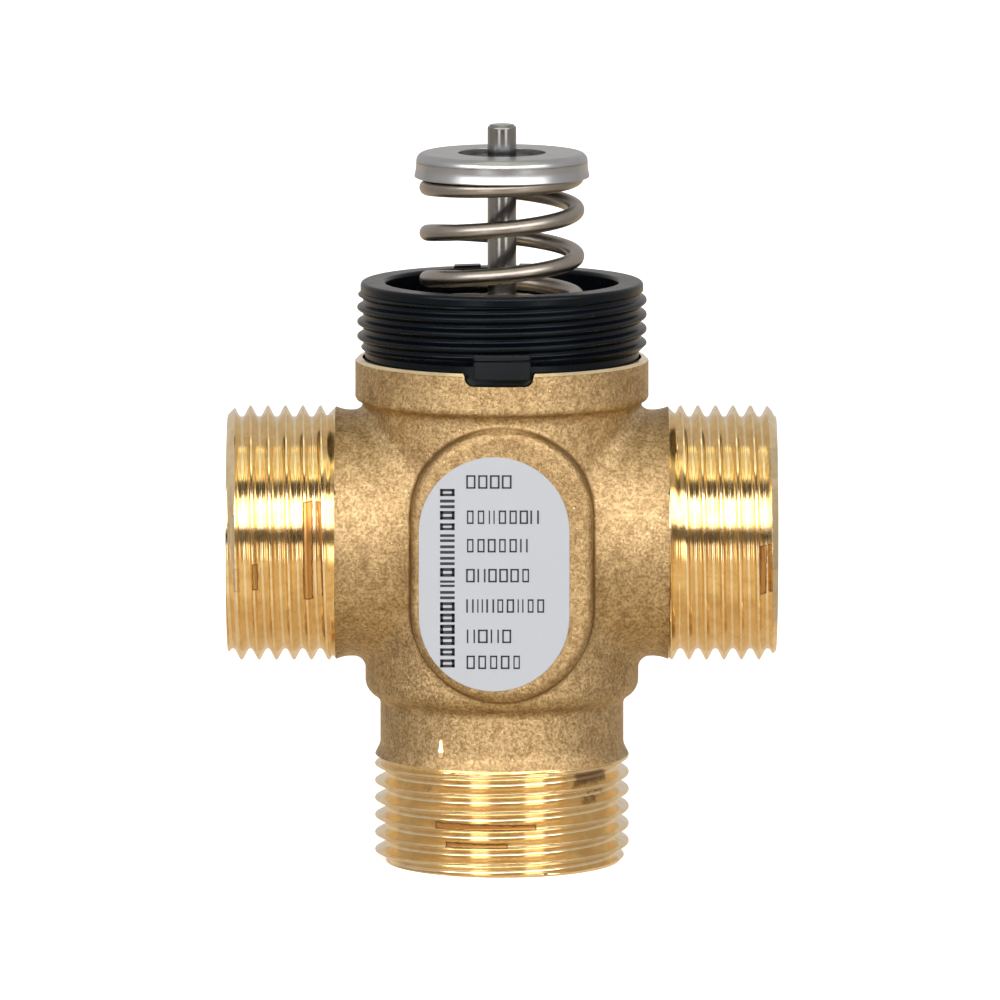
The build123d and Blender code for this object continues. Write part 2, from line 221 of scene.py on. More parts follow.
@dataclass(frozen=True)
class Finish:
    """A surface finish: plain numbers for its shader, and a method that adds its pattern."""

    name: str
    tint: tuple = colour(0.5, 0.5, 0.5)
    metallic: float = 0.0
    roughness: float = 0.5
    ior: float = 1.5
    gleam: tuple = colour(1.0, 1.0, 1.0)

    def material(self) -> bpy.types.Material:
        """The finish's material, made the first time that it is asked for."""
        made = bpy.data.materials.get(self.name)
        if made:
            return made
        made = bpy.data.materials.new(self.name)
        made.use_nodes = True
        made.diffuse_color = self.tint
        graph = Graph(made.node_tree)
        shader = made.node_tree.nodes["Principled BSDF"]
        shader.inputs["Base Color"].default_value = self.tint
        shader.inputs["Metallic"].default_value = self.metallic
        shader.inputs["Roughness"].default_value = self.roughness
        shader.inputs["IOR"].default_value = self.ior
        shader.inputs["Specular Tint"].default_value = self.gleam
        place = graph.vector("SCALE", graph.add("ShaderNodeTexCoord").outputs["Object"])
        place.node.inputs["Scale"].default_value = 1 / MM
        self.dress(graph, shader, place)
        return made

    def dress(self, graph: Graph, shader: bpy.types.Node, place: bpy.types.NodeSocket) -> None:
        """Add the pattern of the finish to its shader, from the place in millimetres."""
        graph.put(shader.inputs["Normal"], graph.bump(graph.noise(place, 3.0), 0.01))

    def spread_roughness(
        self, graph: Graph, shader: bpy.types.Node, share: Value, less: float, more: float
    ) -> None:
        """Spread the roughness about its plain number by a share from 0 to 1."""
        low, high = self.roughness - less, self.roughness + more
        graph.put(shader.inputs["Roughness"], graph.scaled(share, low, high))


@dataclass(frozen=True)
class ForgedBrass(Finish):
    """Blasted hot-forged brass: dull gold with a fine mottled grain, a few glints, and painted shade in the
    crease round the label boss and on its face.
    """

    shade: tuple = colour(0.21, 0.13, 0.05)
    glint: tuple = colour(0.85, 0.68, 0.42)
    grain: float = 3.2
    dent: float = 0.10
    glint_scale: float = 6.0
    glint_share: float = 0.03
    mottle: float = 0.8
    pale: tuple = colour(0.68, 0.51, 0.27)
    # Width of the painted shade line round the boss, and how far painted shade darkens the boss's face.
    crease_shade_width: float = 0.3
    face_shade: float = 0.25

    def dress(self, graph: Graph, shader: bpy.types.Node, place: bpy.types.NodeSocket) -> None:
        """Grain, glints, colour drift, and painted shade in the crease round the boss and on its face."""
        drift = graph.smooth(graph.noise(place, 0.16, 3.0), 0.3, 0.75)
        grain = graph.noise(place, self.grain, 5.0, 0.72)
        cells = graph.cells(place, self.glint_scale)
        chance = graph.math("FRACT", graph.math("MULTIPLY", cells.outputs["Color"], 7.3))
        sparkle = graph.smooth(chance, 1 - self.glint_share, 1.0)
        patches = graph.noise(place, self.mottle, 5.0, 0.7)
        base = graph.mix(graph.scaled(drift, 0.0, 0.25), self.tint, self.shade)
        base = graph.mix(graph.math("MULTIPLY", graph.smooth(patches, 0.52, 0.36), 0.40), base, self.shade)
        base = graph.mix(graph.math("MULTIPLY", graph.smooth(patches, 0.50, 0.68), 0.7), base, self.pale)
        base = graph.mix(graph.math("MULTIPLY", graph.smooth(grain, 0.58, 0.38), 0.65), base, self.shade)
        # Painted shade: the shade colour laid along the boss's crease and, more faintly, over its front
        # face.
        base = graph.mix(self.crease_shade(graph, place), base, self.shade)
        base = graph.mix(graph.math("MULTIPLY", sparkle, 0.4), base, self.glint)
        graph.put(shader.inputs["Base Color"], base)
        graph.put(shader.inputs["Roughness"], graph.scaled(sparkle, self.roughness, self.roughness * 0.6))
        graph.put(shader.inputs["Normal"], graph.bump(grain, self.dent))

    def crease_shade(self, graph: Graph, place: bpy.types.NodeSocket) -> bpy.types.NodeSocket:
        """Share of painted shade in the crease where the label boss meets the body, and a smaller share of
        painted shade on the boss's face.
        """
        parts = graph.add("ShaderNodeSeparateXYZ", {0: place}).outputs
        half = Casting.boss_width / 2
        straight = Casting.boss_height / 2 - half
        rise = graph.math("ABSOLUTE", graph.math("SUBTRACT", parts[2], Casting.boss_middle))
        rise = graph.math("MAXIMUM", graph.math("SUBTRACT", rise, straight), 0.0)
        flat = graph.add("ShaderNodeCombineXYZ", {0: parts[0], 1: rise})
        outside = graph.math("SUBTRACT", graph.vector("LENGTH", flat.outputs[0]), half + self.crease_shade_width / 2)
        near = graph.smooth(graph.math("ABSOLUTE", outside), self.crease_shade_width, 0.0)
        face = graph.math("MULTIPLY", graph.smooth(outside, 0.0, -self.crease_shade_width), self.face_shade)
        front = graph.math("LESS_THAN", parts[1], Casting.boss_root - 1.0)
        return graph.math("MULTIPLY", graph.math("MAXIMUM", near, face), front)


@dataclass(frozen=True)
class Stain:
    """Drying mark, a patch with a dark outline about a centre."""

    centre: tuple
    half: tuple
    strength: float
    edge: tuple
    middle: tuple
    soft: float
    wander: float
    outline: float = 0.12

    def shares(self, graph: Graph, place: bpy.types.NodeSocket, drift: Value) -> tuple[Value, Value]:
        """How far a place lies in the patch, and how far inside its outline."""
        offset = graph.vector("ABSOLUTE", graph.vector("SUBTRACT", place, self.centre))
        gaps = graph.add("ShaderNodeSeparateXYZ", {0: graph.vector("SUBTRACT", offset, self.half)}).outputs
        gap = graph.math("MAXIMUM", graph.math("MAXIMUM", gaps[0], gaps[1]), gaps[2])
        gap = graph.math("ADD", gap, graph.scaled(drift, -self.wander, self.wander))
        patch = graph.smooth(gap, self.soft, -self.soft)
        core = graph.smooth(gap, self.soft - self.outline, -self.soft - self.outline)
        return graph.math("MULTIPLY", patch, self.strength), core


@dataclass(frozen=True)
class TurnedBrass(Finish):
    """Machined brass with fine tool lines round its axis and, on the ports, brown drying marks."""

    direction: Direction = Direction.UP
    stains: tuple = ()
    line_depth: float = 0.004
    tarnish: tuple = colour(0.62, 0.42, 0.17)

    def dress(self, graph: Graph, shader: bpy.types.Node, place: bpy.types.NodeSocket) -> None:
        """Tool lines, faint tarnish and the drying marks."""
        parts = graph.add("ShaderNodeSeparateXYZ", {0: place})
        along = parts.outputs["XYZ".index(self.direction.value.upper())]
        stretched = graph.add("ShaderNodeCombineXYZ", {0: along})
        lines = graph.noise(stretched.outputs[0], 9.0, 3.0, 0.6)
        tarnish = graph.noise(place, 0.5, 3.0)
        smudge = graph.noise(place, 1.5, 4.0, 0.7)
        base = graph.mix(graph.scaled(graph.smooth(tarnish, 0.35, 0.7), 0.05, 0.34), self.tint, self.tarnish)
        base = graph.mix(graph.math("MULTIPLY", graph.smooth(smudge, 0.5, 0.7), 0.3), base, self.tarnish)
        rough = graph.scaled(graph.smooth(tarnish, 0.4, 0.7), self.roughness, self.roughness + 0.06)
        metal = 1.0
        drift = graph.noise(place, 1.6, 2.0)
        for stain in self.stains:
            share, core = stain.shares(graph, place, drift)
            base = graph.mix(share, base, graph.mix(core, stain.edge, stain.middle))
            dull = graph.math("MULTIPLY", share, 0.2)
            rough = graph.math("ADD", rough, dull)
            metal = graph.math("SUBTRACT", metal, dull)
        graph.put(shader.inputs["Base Color"], base)
        graph.put(shader.inputs["Roughness"], rough)
        graph.put(shader.inputs["Metallic"], metal)
        graph.put(shader.inputs["Normal"], graph.bump(lines, self.line_depth))


@dataclass(frozen=True)
class Moulded(Finish):
    """Moulded plastic or rubber with a fine even texture."""

    texture: float = 5.0
    texture_depth: float = 0.008

    def dress(self, graph: Graph, shader: bpy.types.Node, place: bpy.types.NodeSocket) -> None:
        """Fine texture with a slight change of gloss."""
        fine = graph.noise(place, self.texture, 3.0)
        slow = graph.noise(place, 0.35, 2.0)
        graph.put(shader.inputs["Normal"], graph.bump(fine, self.texture_depth))
        self.spread_roughness(graph, shader, slow, 0.06, 0.08)
        base = graph.mix(graph.scaled(fine, 0.0, 0.4), self.tint, toned(self.tint, 1.5))
        graph.put(shader.inputs["Base Color"], base)


@dataclass(frozen=True)
class Steel(Finish):
    """Bright steel, drawn, ground or pressed, with fine marks round the stem axis."""

    marks: float = 14.0
    mark_depth: float = 0.0015
    cloud: float = 0.5

    def dress(self, graph: Graph, shader: bpy.types.Node, place: bpy.types.NodeSocket) -> None:
        """Fine round marks and a cloudy sheen."""
        parts = graph.add("ShaderNodeSeparateXYZ", {0: place})
        flat = graph.add("ShaderNodeCombineXYZ", {0: parts.outputs[0], 1: parts.outputs[1]})
        radius = graph.vector("LENGTH", flat.outputs[0])
        band = graph.add("ShaderNodeCombineXYZ", {0: parts.outputs[2], 1: radius})
        lines = graph.noise(band.outputs[0], self.marks, 2.0)
        clouds = graph.noise(place, self.cloud, 4.0)
        graph.put(shader.inputs["Normal"], graph.bump(lines, self.mark_depth))
        self.spread_roughness(graph, shader, clouds, 0.02, 0.04)
        base = graph.mix(graph.smooth(clouds, 0.35, 0.75), self.tint, toned(self.tint, 0.88))
        graph.put(shader.inputs["Base Color"], base)


@dataclass(frozen=True)
class Foil(Finish):
    """Silver label foil with a brushed grain along its height."""

    def dress(self, graph: Graph, shader: bpy.types.Node, place: bpy.types.NodeSocket) -> None:
        """Brushed grain and a pale sheen."""
        long_grain = graph.vector("MULTIPLY", place, (9.0, 1.0, 0.6))
        brushed = graph.noise(long_grain, 1.0, 3.0)
        graph.put(shader.inputs["Normal"], graph.bump(brushed, 0.004))
        self.spread_roughness(graph, shader, brushed, 0.05, 0.1)


class Mark(Enum):
    """Kinds of drying mark: strength, colours of outline and middle, softness and wander of the edge."""

    RUSTY = (0.95, colour(0.13, 0.05, 0.015), colour(0.56, 0.30, 0.09), 0.06, 0.12)
    FAINT = (0.42, colour(0.24, 0.11, 0.04), colour(0.70, 0.46, 0.20), 0.08, 0.14)
    DARK = (0.75, colour(0.15, 0.07, 0.025), colour(0.15, 0.07, 0.025), 0.22, 0.45)
    OLIVE = (0.5, colour(0.34, 0.27, 0.14), colour(0.46, 0.38, 0.22), 0.22, 0.4)


def port_stains(direction: Direction, low: float, high: float, spots: Sequence[tuple]) -> tuple:
    """Drying marks that lie on a port's thread, worked out from where they show on its front.

    Args:
        direction: axis of the port.
        low: lowest distance along the axis that any mark may reach.
        high: highest distance.
        spots: distance along the axis, place across it, half length along, half length across, kind.

    Returns:
        The marks, each deep enough to cover the thread's flanks.
    """
    marks = []
    for along, across, half_along, half_across, kind in spots:
        along = min(max(along, low), high)
        front = -math.sqrt(max(Port.crest_radius ** 2 - across ** 2, 0.0))
        if direction is Direction.UP:
            centre, half = (across, front, along), (half_across, 4.0, half_along)
        else:
            centre, half = (along, front, Casting.side_axis + across), (half_along, 4.0, half_across)
        marks.append(Stain(centre, half, *kind.value))
    return tuple(marks)


# Mesh making


def arc_corner(before: np.ndarray, corner: np.ndarray, after: np.ndarray, radius: float, steps: int) -> list:
    """Points of an arc that rounds a corner, tangent to both its sides, with a held edge at each end."""
    back = (before - corner) / np.linalg.norm(before - corner)
    ahead = (after - corner) / np.linalg.norm(after - corner)
    half = 0.5 * math.acos(float(np.clip(back @ ahead, -1, 1)))
    reach = radius / math.tan(half)
    centre = corner + (back + ahead) / np.linalg.norm(back + ahead) * radius / math.sin(half)
    start = corner + back * reach - centre
    end = corner + ahead * reach - centre
    turn = math.pi - 2 * half
    hold = 0.15 * radius
    points = [centre + start + back * hold]
    for step in range(steps + 1):
        share = step / steps
        leg = math.sin((1 - share) * turn) * start + math.sin(share * turn) * end
        points.append(centre + leg / math.sin(turn))
    points.append(centre + end + ahead * hold)
    return points


def rounded(outline: Outline, steps: int = 6) -> np.ndarray:
    """Closed outline with its corners rounded.

    Args:
        outline: corners as (radius, height) or (radius, height, rounding).
        steps: straight runs in each rounded corner.

    Returns:
        The outline's points, in order.
    """
    points = []
    corners = [np.array(corner[:2], dtype=float) for corner in outline]
    for index, corner in enumerate(outline):
        rounding = corner[2] if len(corner) > 2 else 0.0
        if rounding <= 0:
            points.append(corners[index])
            continue
        after = corners[(index + 1) % len(corners)]
        points.extend(arc_corner(corners[index - 1], corners[index], after, rounding, steps))
    return np.array(points)


def band_faces(rows: int, size: int, ring: bool = False) -> list:
    """Quads between neighbouring rows of points, where each row is a closed loop.

    Args:
        rows: number of rows.
        size: points in a row.
        ring: whether the last row joins the first.

    Returns:
        The faces.
    """
    faces = []
    for row in range(rows if ring else rows - 1):
        here, above = row * size, (row + 1) % rows * size
        for index in range(size):
            beside = (index + 1) % size
            faces.append((here + index, here + beside, above + beside, above + index))
    return faces


def turned(
    outline: Outline, sides: int = 144, steps: int = 6, flats: Optional[tuple[float, float, float]] = None
) -> tuple[np.ndarray, list]:
    """Closed ring of quads turned about the stem axis.

    Args:
        outline: corners as for rounded.
        sides: number of divisions round the axis.
        steps: runs in each rounded corner.
        flats: width across six flats, with the lowest and highest height that they are cut at.

    Returns:
        Points and faces.
    """
    profile = rounded(outline, steps)
    angles = np.arange(sides) * 2 * math.pi / sides
    radius = np.repeat(profile[:, :1], sides, axis=1)
    if flats:
        across, low, high = flats
        hexagon = across / 2 / np.cos((angles % (math.pi / 3)) - math.pi / 6)
        cut = (profile[:, 1] >= low - 1e-6) & (profile[:, 1] <= high + 1e-6)
        radius = np.where(cut[:, None], np.minimum(radius, hexagon[None, :]), radius)
    heights = np.repeat(profile[:, 1:], sides, axis=1)
    points = np.stack((radius * np.cos(angles), radius * np.sin(angles), heights), axis=-1).reshape(-1, 3)
    return points, band_faces(len(profile), sides, ring=True)


def clean(mesh: bpy.types.Mesh, sharp: float) -> None:
    """Merge doubles, drop empty faces, point faces outwards and smooth all but the sharp edges."""
    work = bmesh.new()
    work.from_mesh(mesh)
    bmesh.ops.remove_doubles(work, verts=work.verts, dist=2e-7)
    bmesh.ops.dissolve_degenerate(work, edges=work.edges, dist=1e-7)
    bmesh.ops.recalc_face_normals(work, faces=work.faces)
    work.to_mesh(mesh)
    work.free()
    mesh.shade_smooth()
    mesh.set_sharp_from_angle(angle=math.radians(sharp))


@dataclass
class Piece:
    """One finished mesh with what it is made of, what it rides on and which solids it stands for."""

    name: str
    finish: Finish
    body: Body
    nodes: tuple = ()
    slot: str = ""
    sharp: float = 32.0

    def from_points(self, points: np.ndarray, faces: Sequence[Sequence[int]]) -> bpy.types.Object:
        """Make the piece from points in millimetres."""
        mesh = bpy.data.meshes.new(self.name)
        mesh.from_pydata((np.asarray(points) * MM).tolist(), [], [list(map(int, face)) for face in faces])
        clean(mesh, self.sharp)
        return self.place(mesh)

    def from_tree(
        self, tree: bpy.types.NodeTree, inputs: dict, turn: Matrix = Matrix.Identity(4)
    ) -> bpy.types.Object:
        """Make the piece from a node tree that works in millimetres.

        Args:
            tree: the geometry node tree.
            inputs: values by the tree's input names.
            turn: turn and shift given to the mesh, in millimetres.

        Returns:
            The piece's object.
        """
        carrier = put_in_scene(self.name + "_carrier", bpy.data.meshes.new(self.name + "_empty"))
        modifier = carrier.modifiers.new("shape", "NODES")
        modifier.node_group = tree
        values = dict(inputs, Finish=self.finish.material())
        for item in tree.interface.items_tree:
            if item.item_type == "SOCKET" and item.in_out == "INPUT" and item.name in values:
                modifier[item.identifier] = values[item.name]
        graph = bpy.context.evaluated_depsgraph_get()
        mesh = bpy.data.meshes.new_from_object(carrier.evaluated_get(graph))
        bpy.data.objects.remove(carrier)
        mesh.name = self.name
        mesh.transform(Matrix.Scale(MM, 4) @ turn)
        clean(mesh, self.sharp)
        return self.place(mesh)

    def place(self, mesh: bpy.types.Mesh) -> bpy.types.Object:
        """Give the mesh its object, finish and body."""
        piece = put_in_scene(self.name, mesh)
        mesh.materials.clear()
        mesh.materials.append(self.finish.material())
        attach(piece, self.body.value)
        if self.nodes:
            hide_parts(*self.nodes)
        LOG.info("%s: %d faces", self.name, len(mesh.polygons))
        return piece


# Finishes of this valve

FORGED = ForgedBrass("forged_brass_blasted", colour(0.555, 0.405, 0.215), 1.0, 0.43)
PORT_TINT = colour(0.92, 0.76, 0.49)
BRIGHT_BRASS = TurnedBrass("turned_brass_bright", PORT_TINT, 1.0, 0.15)
BLUISH = colour(0.78, 0.92, 1.0)
BLACK_TINT = colour(0.0012, 0.0020, 0.0036)
BLACK_PLASTIC = Moulded("moulded_black_plastic", BLACK_TINT, 0.0, 0.27, ior=1.27, gleam=BLUISH)
MATT_TINT = colour(0.0085, 0.009, 0.010)
MATT_PLASTIC = Moulded("moulded_matt_plastic", MATT_TINT, 0.0, 0.42, ior=1.27, gleam=BLUISH)
WHITE_PLASTIC = Moulded("moulded_white_plastic", colour(0.82, 0.81, 0.78), 0.0, 0.4)
RUBBER = Moulded("moulded_rubber", colour(0.02, 0.02, 0.02), 0.0, 0.55)
CAP_STEEL = Steel("pressed_cap_steel", colour(0.43, 0.445, 0.46), 1.0, 0.29)
WIRE_STEEL = Steel("spring_wire_steel", colour(0.33, 0.305, 0.275), 1.0, 0.33)
STEM_STEEL = Steel("ground_stem_steel", colour(0.28, 0.29, 0.30), 1.0, 0.19)
CLIP_STEEL = Steel("blackened_clip_steel", colour(0.03, 0.03, 0.032), 0.8, 0.45)
SILVER_FOIL = Foil("brushed_foil", colour(0.52, 0.555, 0.605), 0.45, 0.42)
PRINT = Moulded("label_print", colour(0.02, 0.022, 0.028), 0.0, 0.5)


# Signed distances to plain solids, in millimetres, negative inside


def rod(
    points: np.ndarray,
    centre: tuple,
    axis: int,
    radius: Union[float, np.ndarray],
    low: float,
    high: float,
    edge: float = 0.0,
) -> np.ndarray:
    """Distance to a round bar along one axis, with its end edges rounded."""
    others = [number for number in range(3) if number != axis]
    across = np.hypot(points[..., others[0]] - centre[others[0]], points[..., others[1]] - centre[others[1]])
    side = across - radius + edge
    end = np.abs(points[..., axis] - (low + high) / 2) - (high - low) / 2 + edge
    outside = np.hypot(np.maximum(side, 0), np.maximum(end, 0))
    return outside + np.minimum(np.maximum(side, end), 0) - edge


def block(points: np.ndarray, low: tuple, high: tuple, edge: float = 0.0) -> np.ndarray:
    """Distance to a box between two corners, with its edges rounded."""
    middle = (np.array(low) + np.array(high)) / 2
    half = (np.array(high) - np.array(low)) / 2
    gap = np.abs(points - middle) - half + edge
    outside = np.linalg.norm(np.maximum(gap, 0), axis=-1)
    return outside + np.minimum(gap.max(axis=-1), 0) - edge


def filleted(first: np.ndarray, second: np.ndarray, radius: float) -> np.ndarray:
    """Union of two solids with a round fillet in the corner between them."""
    fill = np.hypot(np.maximum(radius - first, 0), np.maximum(radius - second, 0))
    return np.maximum(np.minimum(first, second), radius) - fill


def without(solid: np.ndarray, tool: np.ndarray) -> np.ndarray:
    """Solid with a tool cut out of it."""
    return np.maximum(solid, -tool)


@dataclass
class PolarGrid:
    """Grid about the stem axis whose cells hold the surface of a distance field."""

    sides: int
    radii: np.ndarray
    heights: np.ndarray
    stiffness: float = 0.1

    def surface(self, distance: Callable[[np.ndarray], np.ndarray]) -> tuple[np.ndarray, np.ndarray]:
        """Quads over the zero surface, with one point in each cell set where the planes round it meet.

        Args:
            distance: signed distance at an array of points.

        Returns:
            Points and four-cornered faces.
        """
        angles = np.arange(self.sides) * 2 * math.pi / self.sides
        turn, radius, height = np.meshgrid(angles, self.radii, self.heights, indexing="ij")
        points = np.stack((radius * np.cos(turn), radius * np.sin(turn), height), axis=-1)
        values = distance(points)
        shape = (self.sides, len(self.radii) - 1, len(self.heights) - 1)
        planes, quads = [], []
        for axis in range(3):
            planes_here, quads_here = self.crossings(distance, points, values, axis, shape)
            planes.append(planes_here)
            quads.append(quads_here)
        normals = np.concatenate([plane[0] for plane in planes])
        places = np.concatenate([plane[1] for plane in planes])
        quads = np.concatenate(quads)
        cells, owner = np.unique(quads, return_inverse=True)
        owner = owner.reshape(quads.shape)
        return self.settle(normals, places, owner, cells, shape), owner

    def crossings(
        self, distance: Callable, points: np.ndarray, values: np.ndarray, axis: int, shape: tuple
    ) -> tuple[tuple[np.ndarray, np.ndarray], np.ndarray]:
        """Surface planes where grid edges along one axis cross it, and the four cells round each edge."""
        ahead_values = np.roll(values, -1, axis=axis)
        crossing = (values < 0) != (ahead_values < 0)
        limits = [slice(None)] * 3
        if axis > 0:
            limits[axis] = -1
            crossing[tuple(limits)] = False
        for other in (1, 2):
            if other != axis:
                edge = [slice(None)] * 3
                for end in (0, -1):
                    edge[other] = end
                    crossing[tuple(edge)] = False
        index = np.argwhere(crossing)
        start = points[crossing]
        end = np.roll(points, -1, axis=axis)[crossing]
        first = values[crossing]
        second = ahead_values[crossing]
        share = (first / (first - second))[:, None]
        place = start + share * (end - start)
        reach = 0.004
        normal = np.empty_like(place)
        for part in range(3):
            shift = np.zeros(3)
            shift[part] = reach
            normal[:, part] = distance(place + shift) - distance(place - shift)
        normal /= np.maximum(np.linalg.norm(normal, axis=1, keepdims=True), 1e-12)
        place = place - normal * distance(place)[:, None]
        others = [number for number in range(3) if number != axis]
        corners = []
        for first_step, second_step in ((-1, -1), (0, -1), (0, 0), (-1, 0)):
            cell = index.copy()
            cell[:, others[0]] += first_step
            cell[:, others[1]] += second_step
            cell[:, 0] %= self.sides
            corners.append(np.ravel_multi_index(cell.T, shape))
        quads = np.stack(corners, axis=1)
        inward = (first > 0) if axis != 1 else (first < 0)
        quads[inward] = quads[inward][:, ::-1]
        return (normal, place), quads

    def settle(
        self, normals: np.ndarray, places: np.ndarray, owner: np.ndarray, cells: np.ndarray, shape: tuple
    ) -> np.ndarray:
        """Point of each cell: least squares on its planes, held near their mean and inside the cell."""
        count = len(cells)
        flat = owner.T.reshape(-1)
        normals = np.tile(normals, (4, 1))
        places = np.tile(places, (4, 1))
        weight = np.bincount(flat, minlength=count)
        totals = [np.bincount(flat, places[:, part], count) for part in range(3)]
        mean = np.stack(totals, axis=1) / weight[:, None]
        offset = np.einsum("ij,ij->i", normals, places - mean[flat])
        product = np.empty((count, 3, 3))
        pull = np.empty((count, 3))
        for row in range(3):
            pull[:, row] = np.bincount(flat, normals[:, row] * offset, count)
            for column in range(3):
                product[:, row, column] = np.bincount(flat, normals[:, row] * normals[:, column], count)
        power, axes = np.linalg.eigh(product)
        inverse = np.where(power > self.stiffness * power[:, -1:], 1 / np.maximum(power, 1e-12), 0)
        move = np.einsum("nij,nj,nkj,nk->ni", axes, inverse, axes, pull)
        point = mean + move
        turn_cell, radius_cell, height_cell = np.unravel_index(cells, shape)
        step = 2 * math.pi / self.sides
        middle = (turn_cell + 0.5) * step
        swing = (np.arctan2(point[:, 1], point[:, 0]) - middle + math.pi) % (2 * math.pi) - math.pi
        swing = middle + np.clip(swing, -step / 2, step / 2)
        radius = np.hypot(point[:, 0], point[:, 1])
        radius = np.clip(radius, self.radii[radius_cell], self.radii[radius_cell + 1])
        height = np.clip(point[:, 2], self.heights[height_cell], self.heights[height_cell + 1])
        return np.stack((radius * np.cos(swing), radius * np.sin(swing), height), axis=1)


def stepped(*stretches: tuple[float, float, float]) -> np.ndarray:
    """Grid lines over joined stretches, each with its end and about its step."""
    lines = [stretches[0][0]]
    for start, end, step in stretches:
        count = max(round((end - start) / step), 1)
        lines.extend(np.linspace(start, end, count + 1)[1:])
    return np.array(lines)


# Forged body


@dataclass
class Casting:
    """The forged and bored body, without the three ports' threads."""

    boss_root: ClassVar[float] = -7.0

    side_axis: float = 34.3
    barrel_radius: float = 14.2
    barrel_low: float = 17.2
    barrel_round: float = 1.9
    neck_radius: float = 12.8
    neck_flare: float = 0.34
    flare_length: float = 1.6
    neck_end: float = 17.25
    neck_fillet: float = 1.3
    foot_radius: float = 12.65
    foot_fillet: float = 0.7
    foot_low: float = 11.2
    foot_flare: float = 0.6
    flare_top: float = 12.7
    lip_round: float = 0.35
    band_radius: float = 15.2
    band_low: float = 48.4
    band_round: float = 0.35
    band_fillet: float = 1.1
    rim: float = 52.7
    rim_chamfer: float = 0.35
    seat_radius: float = 14.45
    boss_width: float = 18.7
    boss_height: float = 28.2
    boss_middle: float = 32.8
    boss_face: float = -14.8
    boss_edge: float = 0.9
    boss_fillet: float = 0.45
    notch_half: float = 3.45
    notch_round: float = 0.8
    notch_floor: float = 51.4
    notch_middle: float = -0.3
    notch_spread: float = 0.2025
    notch_back: float = -11.0
    port_bore: float = 9.0
    bore_blind: float = 13.0
    foot_bore: float = 9.5
    pocket_radius: float = 9.0
    pocket_low: float = 20.0
    pocket_high: float = 24.0
    chamber_radius: float = 8.5
    web_low: float = 36.0
    web_high: float = 38.5
    seat_hole: float = 5.5
    upper_chamber: float = 9.5
    bonnet_ledge: float = 43.3
    bonnet_bore: float = 10.5
    drip_x: float = -6.3
    window_half: float = 6.0
    window_margin: float = 0.5
    over: float = 5.0
    cut_depth: float = 0.06

    def __post_init__(self) -> None:
        """Take the height of the collar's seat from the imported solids."""
        self.collar_seat = low_high("actuator_collar")[0][2]

    def outside(self, points: np.ndarray) -> np.ndarray:
        """Distance to the forged outside."""
        along = np.abs(points[..., 0])
        spread = np.clip((along - self.neck_end + self.flare_length) / self.flare_length, 0, 1)
        radius = self.neck_radius + self.neck_flare * spread ** 2
        neck = rod(points, (0, 0, self.side_axis), 0, radius, -self.neck_end, self.neck_end)
        top = self.rim + self.over
        barrel = rod(points, (0, 0, 0), 2, self.barrel_radius, self.barrel_low, top, self.barrel_round)
        band = rod(points, (0, 0, 0), 2, self.band_radius, self.band_low, top, self.band_round)
        tee = filleted(filleted(barrel, band, self.band_fillet), neck, self.neck_fillet)
        tee = filleted(tee, self.boss(points), self.boss_fillet)
        drop = np.clip((self.flare_top - points[..., 2]) / (self.flare_top - self.foot_low), 0, 1)
        foot_radius = self.foot_radius + self.foot_flare * drop ** 2
        foot = rod(points, (0, 0, 0), 2, foot_radius, self.foot_low, self.barrel_low + 4, self.lip_round)
        return filleted(tee, foot, self.foot_fillet)

    def boss(self, points: np.ndarray) -> np.ndarray:
        """Distance to the upright label boss with its round ends and soft edge."""
        half = self.boss_width / 2
        rise = np.maximum(np.abs(points[..., 2] - self.boss_middle) - self.boss_height / 2 + half, 0)
        side = np.hypot(points[..., 0], rise) - half + self.boss_edge
        front = self.boss_face - points[..., 1] + self.boss_edge
        face = np.maximum(front, points[..., 1] - self.boss_root)
        corner = np.hypot(np.maximum(side, 0), np.maximum(face, 0))
        return corner + np.minimum(np.maximum(side, face), 0) - self.boss_edge

    def passages(self, points: np.ndarray) -> np.ndarray:
        """Distance to everything bored out of the body."""
        origin = (0, 0, 0)
        steps = (
            (self.foot_bore, 0.0, self.pocket_low),
            (self.pocket_radius, 0.0, self.pocket_high),
            (self.chamber_radius, 0.0, self.web_low),
            (self.seat_hole, 0.0, self.rim),
            (self.upper_chamber, self.web_high, self.rim + 2),
            (self.bonnet_bore, self.bonnet_ledge, self.rim + 2),
            (self.seat_radius, self.collar_seat, self.rim + 2),
        )
        hollow = np.full(points.shape[:-1], 1e3)
        for radius, low, high in steps:
            hollow = np.minimum(hollow, rod(points, origin, 2, radius, low, high))
        axis = (0, 0, self.side_axis)
        for start, end in ((self.bore_blind, 30.0), (-30.0, -self.bore_blind)):
            hollow = np.minimum(hollow, rod(points, axis, 0, self.port_bore, start, end))
        margin = self.window_margin
        reach = self.bore_blind + margin
        wide = self.window_half
        low = self.side_axis - self.port_bore + margin
        upper = block(points, (-reach, -wide, self.web_high), (0, wide, self.bonnet_ledge - margin))
        middle = block(points, (0, -wide, low), (reach, wide, self.web_low - margin))
        return np.minimum(hollow, np.minimum(upper, middle))

    def distance(self, points: np.ndarray) -> np.ndarray:
        """Distance to the finished body."""
        body = without(self.outside(points), self.passages(points))
        body = np.maximum(body, points[..., 2] - self.rim)
        across = np.hypot(points[..., 0], points[..., 1])
        bevel = (across - self.band_radius + points[..., 2] - self.rim + self.rim_chamfer) / math.sqrt(2)
        body = np.maximum(body, bevel)
        body = without(body, self.notch(points))
        return np.maximum(body, self.foot_low - points[..., 2])

